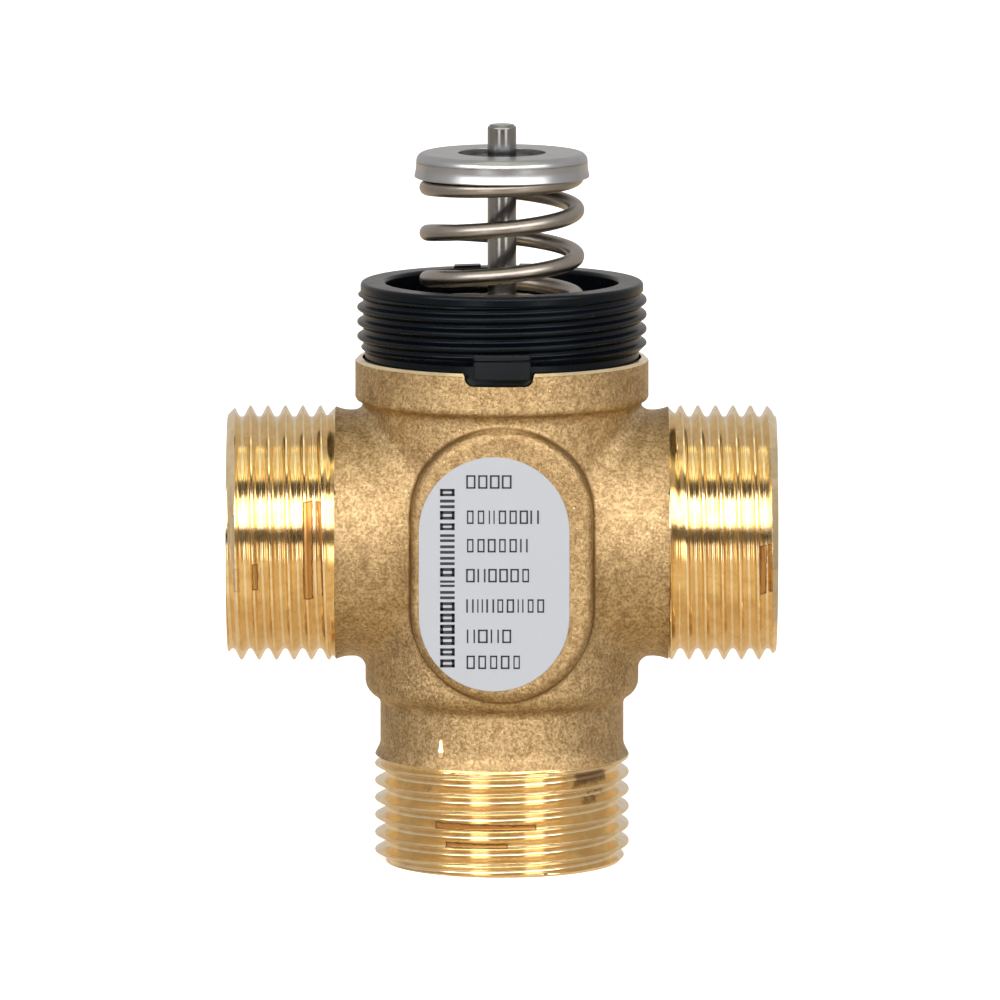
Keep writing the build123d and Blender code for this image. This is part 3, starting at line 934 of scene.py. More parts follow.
    def notch(self, points: np.ndarray) -> np.ndarray:
        """Distance to the notch for the collar's tab, a little wider towards the rim."""
        half = self.notch_half
        rise = np.clip((points[..., 2] - self.notch_floor) / (self.rim - self.notch_floor), 0, 1)
        spread = self.notch_spread * rise ** 2
        narrowed = points.copy()
        narrowed[..., 0] = (points[..., 0] - self.notch_middle) * half / (half + spread)
        low = (-half, -self.band_radius - self.over, self.notch_floor)
        high = (half, self.notch_back, self.rim + self.over)
        return block(narrowed, low, high, self.notch_round)

    def build(self) -> None:
        """Mesh the body, forged outside and machined inside and on the rim."""
        reach = math.hypot(self.neck_end, self.neck_radius + self.neck_flare) + 0.4
        grid = PolarGrid(
            sides=300,
            radii=stepped((5.0, 13.9, 0.52), (13.9, 15.4, 0.25), (15.4, reach, 0.44)),
            heights=stepped(
                (self.foot_low - 0.3, 19.3, 0.30),
                (19.3, 46.5, 0.46),
                (46.5, 50.0, 0.29),
                (50.0, self.rim + 0.3, 0.19),
            ),
        )
        points, quads = grid.surface(self.distance)
        piece = Piece("body_casting", FORGED, Body.FIXED, ("valve_body",), "forged_brass", sharp=38.0)
        casting = piece.from_points(points, quads)
        self.machine(casting.data)
        self.build_drip()

    def build_drip(self) -> None:
        """Mesh the small bright run of metal on the front of the foot's neck."""
        profile = ((0.0, 12.2), (0.36, 12.35, 0.1), (0.5, 12.9, 0.3), (0.24, 14.0, 0.5), (0.0, 14.7))
        points, faces = turned(profile, sides=24, steps=4)
        points += (self.drip_x, -math.sqrt(self.foot_radius ** 2 - self.drip_x ** 2) - 0.02, 0.0)
        piece = Piece("casting_drip", BRIGHT_BRASS, Body.FIXED, ("valve_body",), "forged_brass")
        piece.from_points(points, faces)

    def machine(self, mesh: bpy.types.Mesh) -> None:
        """Give bright brass to the faces that a tool has cut."""
        mesh.materials.append(BRIGHT_BRASS.material())
        centres = np.empty(len(mesh.polygons) * 3)
        mesh.polygons.foreach_get("center", centres)
        centres = centres.reshape(-1, 3) / MM
        cut = self.outside(centres) < -self.cut_depth
        mesh.polygons.foreach_set("material_index", cut.astype(np.int32))
        mesh.update()


# Threads


class ThreadTree:
    """Geometry node tree for a threaded sleeve about Z whose rows of points follow the helix."""

    rows_a_pitch: int = 18
    spare_rows: int = 6
    seam_gap: float = 0.0005

    def __init__(self) -> None:
        """Build the tree with named inputs."""
        sizes = (
            "Crest Radius", "Depth", "Pitch", "Crest Height", "Low", "High", "Low Radius", "High Radius",
            "Low Fill", "High Fill", "Bore", "Bore Chamfer", "Slope", "Root Flat", "Root Round",
            "Crest Round", "First Row Height",
        )
        self.tree = geometry_tree("threaded_sleeve", sizes, ("Rows", "Sides"))
        self.fill(Graph(self.tree))

    def build(self, piece: Piece, sizes: dict, turn: Matrix = Matrix.Identity(4)) -> None:
        """Mesh a sleeve, with as many rows as its length needs.

        Args:
            piece: the piece that it becomes.
            sizes: values by the names of the tree's inputs.
            turn: turn and shift given to the mesh, in millimetres.
        """
        crest, pitch = sizes["Crest Height"], sizes["Pitch"]
        start = crest - math.ceil((crest - sizes["Low"]) / pitch + 1) * pitch
        pitches = math.ceil((sizes["High"] - start) / pitch)
        rows = {"First Row Height": start, "Rows": pitches * self.rows_a_pitch + self.spare_rows}
        piece.from_tree(self.tree, dict(sizes, **rows), turn)

    def fill(self, graph: Graph) -> None:
        """Lay a grid round the sleeve row by row, then join its seams."""
        source = graph.add("NodeGroupInput").outputs
        around = graph.math("ADD", source["Sides"], 1.0)
        sizes = {"Size X": 1.0, "Size Y": 1.0, "Vertices X": source["Rows"], "Vertices Y": around}
        grid = graph.add("GeometryNodeMeshGrid", sizes)
        place = graph.add("ShaderNodeSeparateXYZ", {0: graph.add("GeometryNodeInputPosition").outputs[0]})
        last = graph.math("SUBTRACT", source["Rows"], 1.0)
        row = graph.math("ROUND", graph.math("MULTIPLY", graph.math("ADD", place.outputs[0], 0.5), last))
        share = graph.math("ADD", place.outputs[1], 0.5)
        climb = graph.math("DIVIDE", graph.math("SUBTRACT", row, 2.0), float(self.rows_a_pitch))
        climb = graph.math("MULTIPLY", graph.math("ADD", climb, share), source["Pitch"])
        free = graph.math("ADD", source["First Row Height"], climb)
        height = graph.math("MAXIMUM", graph.math("MINIMUM", free, source["High"]), source["Low"])
        radius = self.thread_radius(graph, source, height, share)
        bore = source["Bore"]
        mouth = graph.math("ADD", bore, source["Bore Chamfer"])
        inner_low = graph.math("ADD", source["Low"], source["Bore Chamfer"])
        inner_high = graph.math("SUBTRACT", source["High"], source["Bore Chamfer"])
        ends = (
            (0, bore, inner_low),
            (1, mouth, source["Low"]),
            (-3, mouth, source["High"]),
            (-2, bore, inner_high),
            (-1, bore, inner_low),
        )
        for number, end_radius, end_height in ends:
            target = float(number) if number >= 0 else graph.math("ADD", last, float(number + 1))
            here = graph.math("COMPARE", row, target, 0.5)
            radius = self.choose(graph, here, radius, end_radius)
            height = self.choose(graph, here, height, end_height)
        angle = graph.math("MULTIPLY", share, 2 * math.pi)
        east = graph.math("MULTIPLY", radius, graph.math("COSINE", angle))
        north = graph.math("MULTIPLY", radius, graph.math("SINE", angle))
        spot = graph.add("ShaderNodeCombineXYZ", {0: east, 1: north, 2: height})
        inputs = {"Geometry": grid.outputs[0], "Position": spot.outputs[0]}
        moved = graph.add("GeometryNodeSetPosition", inputs)
        inputs = {"Geometry": moved.outputs[0], "Distance": self.seam_gap}
        joined = graph.add("GeometryNodeMergeByDistance", inputs)
        graph.hand_out(joined.outputs[0], source["Finish"])

    def thread_radius(
        self, graph: Graph, source: bpy.types.NodeOutputs, height: Value, share: Value
    ) -> Value:
        """Radius of the thread at a height and angle, with its end chamfers."""
        turns = graph.math("DIVIDE", graph.math("SUBTRACT", height, source["Crest Height"]), source["Pitch"])
        phase = graph.math("FRACT", graph.math("SUBTRACT", turns, share))
        half = graph.math("MINIMUM", phase, graph.math("SUBTRACT", 1.0, phase))
        from_root = graph.math("MULTIPLY", graph.math("SUBTRACT", 0.5, half), source["Pitch"])
        flank = graph.math("SUBTRACT", from_root, source["Root Flat"])
        flank = graph.math("MULTIPLY", flank, source["Slope"])
        rise = graph.math("SMOOTH_MAX", flank, 0.0, source["Root Round"])
        rise = graph.math("SMOOTH_MIN", rise, source["Depth"], source["Crest Round"])
        root = graph.math("SUBTRACT", source["Crest Radius"], source["Depth"])
        radius = graph.math("ADD", root, rise)
        from_low = graph.math("SUBTRACT", height, source["Low"])
        from_high = graph.math("SUBTRACT", source["High"], height)
        radius = graph.math("MAXIMUM", radius, graph.math("SUBTRACT", source["Low Fill"], from_low))
        radius = graph.math("MAXIMUM", radius, graph.math("SUBTRACT", source["High Fill"], from_high))
        radius = graph.math("MINIMUM", radius, graph.math("ADD", source["Low Radius"], from_low))
        return graph.math("MINIMUM", radius, graph.math("ADD", source["High Radius"], from_high))

    def choose(self, graph: Graph, here: Value, otherwise: Value, value: Value) -> Value:
        """One value where the row is the wanted one, another elsewhere."""
        step = graph.math("SUBTRACT", value, otherwise)
        return graph.math("MULTIPLY_ADD", step, here, otherwise)


@dataclass
class Port:
    """One male port: pipe thread, chamfered end face and bore."""

    crest_radius: ClassVar[float] = 13.22

    name: str
    direction: Direction
    low: float
    high: float
    crest_height: float
    low_radius: float
    high_radius: float
    bore: float
    spots: tuple = ()
    pitch: float = 1.814
    depth: float = 1.16
    bore_chamfer: float = 0.35
    run_out_radius: float = 12.9
    sides: int = 160

    def build(self, tree: ThreadTree) -> None:
        """Mesh the port and lay it along its axis."""
        sizes = {
            "Crest Radius": self.crest_radius,
            "Depth": self.depth,
            "Pitch": self.pitch,
            "Crest Height": self.crest_height,
            "Low": self.low,
            "High": self.high,
            "Low Radius": self.low_radius,
            "High Radius": self.high_radius,
            "Low Fill": self.run_out(self.low_radius),
            "High Fill": self.run_out(self.high_radius),
            "Bore": self.bore,
            "Bore Chamfer": self.bore_chamfer,
            "Slope": 1.92,
            "Root Flat": 0.20,
            "Root Round": 0.42,
            "Crest Round": 0.16,
            "Sides": self.sides,
        }
        turn = self.direction.matrix()
        if self.direction is Direction.ACROSS:
            turn = Matrix.Translation((0, 0, Casting.side_axis)) @ turn
        stains = port_stains(self.direction, self.low, self.high, self.spots)
        finish = TurnedBrass(
            "turned_brass_" + self.name, PORT_TINT, 1.0, 0.13, direction=self.direction, stains=stains
        )
        piece = Piece(self.name, finish, Body.FIXED, ("valve_body",), "turned_brass", sharp=42.0)
        tree.build(piece, sizes, turn)

    def run_out(self, end_radius: float) -> float:
        """Radius that the thread's run-out is filled up to at an end, 0 at the open end."""
        return end_radius if end_radius > self.run_out_radius else 0.0


# Collar, bonnet and gland


@dataclass
class Collar:
    """Black moulded collar with its actuator thread, shelf, locking tab and rear stops."""

    thread_radius: float = 15.0
    spigot_radius: float = 14.2
    bore: float = 12.05
    shelf_bore: float = 10.7
    shelf: float = 2.0
    pitch: float = 1.5
    depth: float = 0.62
    thread_low: float = 53.35
    thread_high: float = 59.75
    crest_height: float = 58.65
    groove_radius: float = 14.4
    rim_radius: float = 14.65
    rim_low: float = 59.45
    tab_half: float = 2.95
    tab_radius: float = 14.75
    tab_low: float = 52.0
    tab_high: float = 54.7
    tab_edge: float = 0.22
    stop_height: float = 0.2
    stop_edge: float = 0.12
    stops: tuple = (("wide", (-5.0, -2.2)), ("narrow", (1.8, 3.7)))

    def piece(self, name: str, finish: Finish = BLACK_PLASTIC, sharp: float = 32.0) -> Piece:
        """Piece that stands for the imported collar."""
        return Piece(name, finish, Body.FIXED, ("actuator_collar",), "black_plastic", sharp=sharp)

    def build(self, tree: ThreadTree) -> None:
        """Mesh the ring, its thread, the tab and the stops."""
        low, high = low_high("actuator_collar")
        ring = (
            (self.shelf_bore, low[2], 0.15),
            (self.spigot_radius, low[2], 0.2),
            (self.spigot_radius, self.thread_low + 0.3),
            (self.groove_radius - 0.2, self.thread_low + 0.6),
            (self.groove_radius - 0.2, self.rim_low - 0.3),
            (self.groove_radius, self.rim_low - 0.3, 0.1),
            (self.groove_radius, self.rim_low, 0.1),
            (self.rim_radius, self.rim_low + 0.2, 0.1),
            (self.rim_radius, high[2], 0.4),
            (self.bore, high[2], 0.4),
            (self.bore, low[2] + self.shelf, 0.3),
            (self.shelf_bore, low[2] + self.shelf, 0.2),
        )
        self.piece("collar_ring").from_points(*turned(ring, sides=192))
        self.build_thread(tree)
        self.build_tab()
        self.build_stops(high[2])

    def build_thread(self, tree: ThreadTree) -> None:
        """Mesh the outer thread as a sleeve over the ring."""
        sizes = {
            "Crest Radius": self.thread_radius,
            "Depth": self.depth,
            "Pitch": self.pitch,
            "Crest Height": self.crest_height,
            "Low": self.thread_low,
            "High": self.thread_high,
            "Low Radius": self.spigot_radius,
            "High Radius": self.groove_radius,
            "Low Fill": 0.0,
            "High Fill": 0.0,
            "Bore": self.bore + 0.6,
            "Bore Chamfer": 0.0,
            "Slope": 1.75,
            "Root Flat": 0.22,
            "Root Round": 0.3,
            "Crest Round": 0.3,
            "Sides": 192,
        }
        tree.build(self.piece("collar_thread", sharp=42.0), sizes)

    def build_tab(self) -> None:
        """Mesh the locking tab that stands in the rim's notch."""
        across = (-self.tab_half, self.tab_half)
        reach = (self.bore + 0.5, self.tab_radius)
        points, faces = curved_block(across, reach, (self.tab_low, self.tab_high), self.tab_edge)
        self.piece("collar_tab", MATT_PLASTIC).from_points(points, faces)

    def build_stops(self, rim: float) -> None:
        """Mesh the two low stops on the back of the collar's rim."""
        reach = (self.bore + 0.5, self.rim_radius - 0.4)
        for name, across in self.stops:
            points, faces = curved_block(across, reach, (rim - 0.3, rim + self.stop_height), self.stop_edge)
            points[:, 1] *= -1
            self.piece(f"collar_stop_{name}").from_points(points, faces)


def curved_block(
    across: tuple[float, float], reach: tuple[float, float], rise: tuple[float, float], edge: float
) -> tuple[np.ndarray, list]:
    """Block on the front of a ring whose face follows the ring, with its edges and corners rounded.

    Args:
        across: lowest and highest X.
        reach: inner and outer radius.
        rise: lowest and highest height.
        edge: rounding of the edges and corners.

    Returns:
        Points and faces.
    """
    turns = np.linspace(0, math.pi / 2, 6)
    width = across[1] - across[0]
    corner = edge * (1 - np.cos(turns))
    sides = np.concatenate((corner, np.linspace(edge, width - edge, 13)[1:-1], width - corner[::-1]))
    lifts = np.concatenate((edge * (1 - np.sin(turns)), np.zeros(11), edge * (1 - np.sin(turns[::-1]))))
    middle = np.array(((across[0] + across[1]) / 2, (rise[0] + rise[1]) / 2))
    columns = len(sides)
    lower = np.stack((across[0] + sides, rise[0] + lifts), axis=1)
    upper = np.stack((across[0] + sides, rise[1] - lifts), axis=1)[::-1]
    loop = np.concatenate((lower, upper))
    size = len(loop)
    section = [(edge * (1 - math.sin(turn)), reach[1] - edge * (1 - math.cos(turn))) for turn in turns]
    section.append((0.0, reach[0]))
    halves = np.array((width, rise[1] - rise[0])) / 2
    points = []
    for inset, radius in section:
        spots = middle + (loop - middle) * (1 - inset / halves)
        points.extend((east, -math.sqrt(radius ** 2 - east ** 2), height) for east, height in spots)
    faces = band_faces(len(section), size)
    for base in (0, (len(section) - 1) * size):
        for column in range(columns - 1):
            opposite = size - 1 - column
            faces.append((base + column, base + column + 1, base + opposite - 1, base + opposite))
    return np.array(points), faces


@dataclass
class Bonnet:
    """Screwed bonnet with its hexagon and hub, and the gland nut."""

    flats: float = 19.0
    flange_radius: float = 11.8
    hub_radius: float = 6.6
    gland_radius: float = 3.5
    nut_flats: float = 8.0
    stem_radius: float = 1.5

    def build(self) -> None:
        """Mesh the bonnet and the gland nut."""
        low, high = low_high("bonnet")
        collar = low_high("actuator_collar")[0][2]
        flange_low = collar + 2.0
        flange_top = flange_low + 2.0
        seat = low_high("return_spring")[0][2] - 0.02
        ledge = Casting.bonnet_ledge
        corner = self.flats / 2 / math.cos(math.pi / 6)
        outline = (
            (self.stem_radius + 0.05, low[2]),
            (8.9, low[2], 0.2),
            (8.9, ledge + 1.6),
            (10.45, ledge + 1.6, 0.3),
            (10.45, flange_low),
            (self.flange_radius, flange_low, 0.15),
            (self.flange_radius, flange_top, 0.25),
            (corner, flange_top),
            (corner, seat - 0.75),
            (corner - 0.35, seat - 0.42),
            (corner - 0.75, seat - 0.2),
            (corner - 1.5, seat, 0.1),
            (self.hub_radius, seat, 0.2),
            (self.hub_radius, high[2], 0.3),
            (self.gland_radius, high[2], 0.15),
            (self.gland_radius, low[2] + 3.5),
            (self.stem_radius + 0.05, low[2] + 3.5),
        )
        piece = Piece("bonnet_turned", BRIGHT_BRASS, Body.FIXED, ("bonnet",), "turned_brass", sharp=25.0)
        piece.from_points(*turned(outline, sides=180, flats=(self.flats, flange_top + 1e-3, seat)))
        self.build_nut()

    def build_nut(self) -> None:
        """Mesh the gland nut with its hexagon head."""
        low, high = low_high("gland_nut")
        hub_top = low_high("bonnet")[1][2]
        corner = self.nut_flats / 2 / math.cos(math.pi / 6)
        outline = (
            (self.stem_radius + 0.05, low[2]),
            (self.gland_radius - 0.05, low[2]),
            (self.gland_radius - 0.05, hub_top),
            (corner, hub_top),
            (corner, high[2] - 0.3),
            (corner - 0.25, high[2] - 0.12),
            (corner - 0.7, high[2], 0.05),
            (self.stem_radius + 0.05, high[2], 0.15),
        )
        points, faces = turned(outline, sides=96, flats=(self.nut_flats, hub_top + 1e-3, high[2]))
        nodes = ("gland_nut",)
        piece = Piece("gland_nut_turned", BRIGHT_BRASS, Body.FIXED, nodes, "turned_brass", sharp=25.0)
        piece.from_points(points, faces)


# Spring and cap


class SpringTree:
    """Geometry node tree that sweeps the wire along the spring's helix."""

    def __init__(self) -> None:
        """Build the tree with named inputs."""
        sizes = (
            "Wire Radius", "Coil Radius", "End Step", "Foot Height", "Turns", "End Pitch", "Open Rise",
            "First Ramp Start", "First Ramp End", "Last Ramp Start", "Last Ramp End", "Taper Turns",
        )
        self.tree = geometry_tree("wound_wire", sizes, ("Points", "Wire Sides"))
        self.fill(Graph(self.tree))

    def ramp(self, graph: Graph, turn: Value, start: Value, end: Value) -> tuple[Value, Value]:
        """How far a turn has gone into a ramp, and the ramp's length."""
        length = graph.math("SUBTRACT", end, start)
        inside = graph.math("MINIMUM", graph.math("SUBTRACT", turn, start), length)
        return graph.math("MAXIMUM", inside, 0.0), length

    def fill(self, graph: Graph) -> None:
        """Place the points of a line along the helix and sweep a circle over them."""
        source = graph.add("NodeGroupInput").outputs
        line = graph.add("GeometryNodeCurvePrimitiveLine", {"End": (1.0, 0.0, 0.0)})
        dense = graph.add("GeometryNodeResampleCurve", {"Curve": line.outputs[0], "Count": source["Points"]})
        share = graph.add("GeometryNodeSplineParameter").outputs["Factor"]
        turn = graph.math("MULTIPLY", share, source["Turns"])
        first, first_length = self.ramp(graph, turn, source["First Ramp Start"], source["First Ramp End"])
        level, _ = self.ramp(graph, turn, source["First Ramp End"], source["Last Ramp Start"])
        last, last_length = self.ramp(graph, turn, source["Last Ramp Start"], source["Last Ramp End"])
        climb = graph.math("DIVIDE", graph.math("MULTIPLY", first, first), first_length)
        drop = graph.math("DIVIDE", graph.math("MULTIPLY", last, last), last_length)
        area = graph.math("ADD", level, graph.math("MULTIPLY_ADD", climb, 0.5, last))
        area = graph.math("MULTIPLY_ADD", drop, -0.5, area)
        rise = graph.math("MULTIPLY_ADD", area, source["Open Rise"], source["Foot Height"])
        rise = graph.math("MULTIPLY_ADD", turn, source["End Pitch"], rise)
        left = graph.math("SUBTRACT", source["Turns"], turn)
        taper = graph.math("SUBTRACT", 1.0, graph.math("DIVIDE", left, source["Taper Turns"]))
        taper = graph.math("MAXIMUM", taper, 0.0)
        step = graph.math("MULTIPLY", taper, source["End Step"])
        radius = graph.math("SUBTRACT", source["Coil Radius"], step)
        angle = graph.math("MULTIPLY", turn, 2 * math.pi)
        east = graph.math("MULTIPLY", radius, graph.math("COSINE", angle))
        north = graph.math("MULTIPLY", radius, graph.math("SINE", angle))
        spot = graph.add("ShaderNodeCombineXYZ", {0: east, 1: north, 2: rise})
        inputs = {"Geometry": dense.outputs[0], "Position": spot.outputs[0]}
        path = graph.add("GeometryNodeSetPosition", inputs)
        upright = graph.add("GeometryNodeSetCurveNormal", {"Curve": path.outputs[0]})
        circle = graph.add("GeometryNodeCurvePrimitiveCircle", {"Resolution": source["Wire Sides"]})
        graph.put(circle.inputs["Radius"], source["Wire Radius"])
        inputs = {"Curve": upright.outputs[0], "Profile Curve": circle.outputs[0], "Fill Caps": True}
        swept = graph.add("GeometryNodeCurveToMesh", inputs)
        graph.hand_out(swept.outputs[0], source["Finish"])


@dataclass
class ReturnSpring:
    """Compression spring with closed ends between the bonnet and the cap."""

    wire: float = 0.85
    coil: float = 7.7
    end_step: float = 0.2
    foot: float = 57.0
    rise: float = 15.88
    turns: float = 4.7
    end_pitch: float = 2.0
    first_ramp: tuple[float, float] = (1.0, 1.4)
    last_ramp: tuple[float, float] = (3.4, 3.65)
    travel: float = 5.5
    seat_gap: float = 0.02

    def build(self) -> None:
        """Mesh the spring."""
        first, last = self.first_ramp, self.last_ramp
        ramps = (first[1] - first[0]) / 2 + (last[1] - last[0]) / 2
        open_turns = last[0] - first[1] + ramps
        inputs = {
            "Wire Radius": self.wire,
            "Coil Radius": self.coil,
            "End Step": self.end_step,
            "Foot Height": self.foot,
            "Turns": self.turns,
            "End Pitch": self.end_pitch,
            "Open Rise": (self.rise - self.end_pitch * self.turns) / open_turns,
            "First Ramp Start": first[0],
            "First Ramp End": first[1],
            "Last Ramp Start": last[0],
            "Last Ramp End": last[1],
            "Taper Turns": 1.0,
            "Points": 480,
            "Wire Sides": 24,
        }
        piece = Piece("wound_spring", WIRE_STEEL, Body.FIXED, ("return_spring",), "spring_wire", sharp=50.0)
        spring = piece.from_tree(SpringTree().tree, inputs)
        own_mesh(spring)


@dataclass
class SpringCap:
    """Pressed cap over the spring, with its bush and clip."""

    sheet: float = 0.45
    top_radius: float = 8.85
    skirt_radius: float = 9.1
    well_radius: float = 4.53
    waist_radius: float = 8.9
    shoulder: float = 0.85
    inner_shoulder: float = 0.2
    flare_height: float = 0.95
    top_drop: float = 0.2
    stem_radius: float = 1.5
    clip_radius: float = 3.2
    clip_mouth: float = 1.0

    def build(self) -> None:
        """Mesh the cap, bush and clip."""
        low, high = low_high("spring_cap")
        floor = high[2] - 2.7
        top, skirt = high[2] - self.top_drop, low[2]
        under = top - self.sheet
        well = self.well_radius + self.sheet
        hole = self.stem_radius + 0.03
        outline = (
            (hole, floor, 0.05),
            (well, floor, 0.6),
            (well, under, 0.1),
            (self.top_radius - self.sheet, under, self.inner_shoulder),
            (self.skirt_radius - self.sheet, skirt, 0.12),
            (self.skirt_radius, skirt, 0.12),
            (self.waist_radius, skirt + self.flare_height, 3.0),
            (self.top_radius, top, self.shoulder),
            (self.well_radius, top, 0.1),
            (self.well_radius, floor + self.sheet, 0.15),
            (hole, floor + self.sheet, 0.05),
        )
        piece = Piece("pressed_cap", CAP_STEEL, Body.MOVING, ("spring_cap",), "pressed_steel")
        piece.from_points(*turned(outline, sides=192, steps=10))
        self.build_bush()
        self.build_clip()

    def build_bush(self) -> None:
        """Mesh the dark bush in the cap's well."""
        bore = self.stem_radius + 0.03
        ring_piece("well_bush", BLACK_PLASTIC, Body.MOVING, "cap_bush", "black_plastic", bore, 0.2)

    def build_clip(self) -> None:
        """Mesh the open clip, a flat C whose mouth faces the back."""
        low, high = low_high("cap_clip")
        inner = self.stem_radius - 0.37
        edge = 0.06
        start = math.pi / 2 + math.asin(self.clip_mouth / self.clip_radius)
        sweep = 2 * math.pi - 2 * math.asin(self.clip_mouth / self.clip_radius)
        section = rounded(
            (
                (inner, low[2], edge),
                (self.clip_radius, low[2], edge),
                (self.clip_radius, high[2], edge),
                (inner, high[2], edge),
            ),
            3,
        )
        runs = 72
        points = []
        for run in range(runs + 1):
            angle = start + sweep * run / runs
            east, north = math.cos(angle), math.sin(angle)
            points.extend((radius * east, radius * north, height) for radius, height in section)
        size = len(section)
        faces = band_faces(runs + 1, size)
        faces.append(tuple(range(size)))
        faces.append(tuple(runs * size + index for index in reversed(range(size))))
        piece = Piece("stem_clip", CLIP_STEEL, Body.MOVING, ("cap_clip",), "stem_steel")
        piece.from_points(points, faces)


def ring_piece(
    name: str, finish: Finish, body: Body, node: str, slot: str, bore: float, edge: float, waist: float = 0.0
) -> None:
    """Make a plain turned ring with softened edges from a solid's box and its bore.

    Args:
        name: the piece's name.
        finish: its finish.
        body: what it rides on.
        node: solid that it stands for.
        slot: name of a material slot, kept on the piece and not used further.
        bore: radius of its hole, 0 for none.
        edge: rounding of the outer edges.
        waist: depth of a waist round its middle.
    """
    low, high = low_high(node)
    radius = high[0]
    bottom, top = low[2], high[2]
    outline = [(bore, bottom), (radius, bottom, edge)]
    if waist:
        drop = (top - bottom - 0.6) / 2
        outline += [(radius, bottom + 0.6, 0.1), (radius - waist, bottom + drop)]
        outline += [(radius - waist, top - drop), (radius, top - 0.6, 0.1)]
    outline += [(radius, top, edge), (bore, top)]
    Piece(name, finish, body, (node,), slot).from_points(*turned(outline, sides=96, steps=4))


# Stem, plug and seats


@dataclass
class StemAndPlug:
    """Ground stem with the plug stack clamped on its foot."""

    radius: float = 1.5
    foot_radius: float = 1.25
    chamfer: float = 0.3
    groove_radius: float = 1.1

    def build(self) -> None:
        """Mesh the stem, plug, seals, washers and nut."""
        low, high = low_high("stem")
        clip_low, clip_high = low_high("cap_clip")
        shoulder = low_high("upper_plug_washer")[1][2]
        outline = (
            (0.0, low[2]),
            (self.foot_radius, low[2], 0.2),
            (self.foot_radius, shoulder),
            (self.radius, shoulder),
            (self.radius, clip_low[2] - 0.05),
            (self.groove_radius, clip_low[2] - 0.05),
            (self.groove_radius, clip_high[2] + 0.05),
            (self.radius, clip_high[2] + 0.05),
            (self.radius, high[2] - self.chamfer, 0.15),
            (self.radius - self.chamfer, high[2], 0.08),
            (0.0, high[2]),
        )
        piece = Piece("ground_stem", STEM_STEEL, Body.MOVING, ("stem",), "stem_steel")
        piece.from_points(*turned(outline, sides=72))
        bore = self.foot_radius + 0.03
        moving = Body.MOVING
        ring_piece("waisted_plug", BRIGHT_BRASS, moving, "plug", "turned_brass", bore, 0.1, waist=1.0)
        for side in ("upper", "lower"):
            ring_piece(f"{side}_seal_disc", RUBBER, moving, f"{side}_plug_seal", "seal_rubber", bore, 0.25)
            ring_piece(f"{side}_washer", STEM_STEEL, moving, f"{side}_plug_washer", "stem_steel", bore, 0.1)
        self.build_nut(bore)

    def build_nut(self, bore: float) -> None:
        """Mesh the nut under the plug."""
        low, high = low_high("plug_nut")
        corner = high[0]
        flats = corner * math.sqrt(3)
        outline = (
            (bore, low[2]),
            (corner - 0.35, low[2]),
            (corner, low[2] + 0.25),
            (corner, high[2] - 0.25),
            (corner - 0.35, high[2]),
            (bore, high[2]),
        )
        piece = Piece("plug_nut_turned", STEM_STEEL, Body.MOVING, ("plug_nut",), "stem_steel", sharp=25.0)
        piece.from_points(*turned(outline, sides=72, flats=(flats, low[2], high[2])))


@dataclass
class LowerSeat:
    """Seat ring pressed in above the bottom port."""

    hole: float = 5.5

    def build(self) -> None:
        """Mesh the seat with a rounded sealing edge."""
        ring_piece("seat_ring", BRIGHT_BRASS, Body.FIXED, "lower_seat", "turned_brass", self.hole, 0.25)


# Label


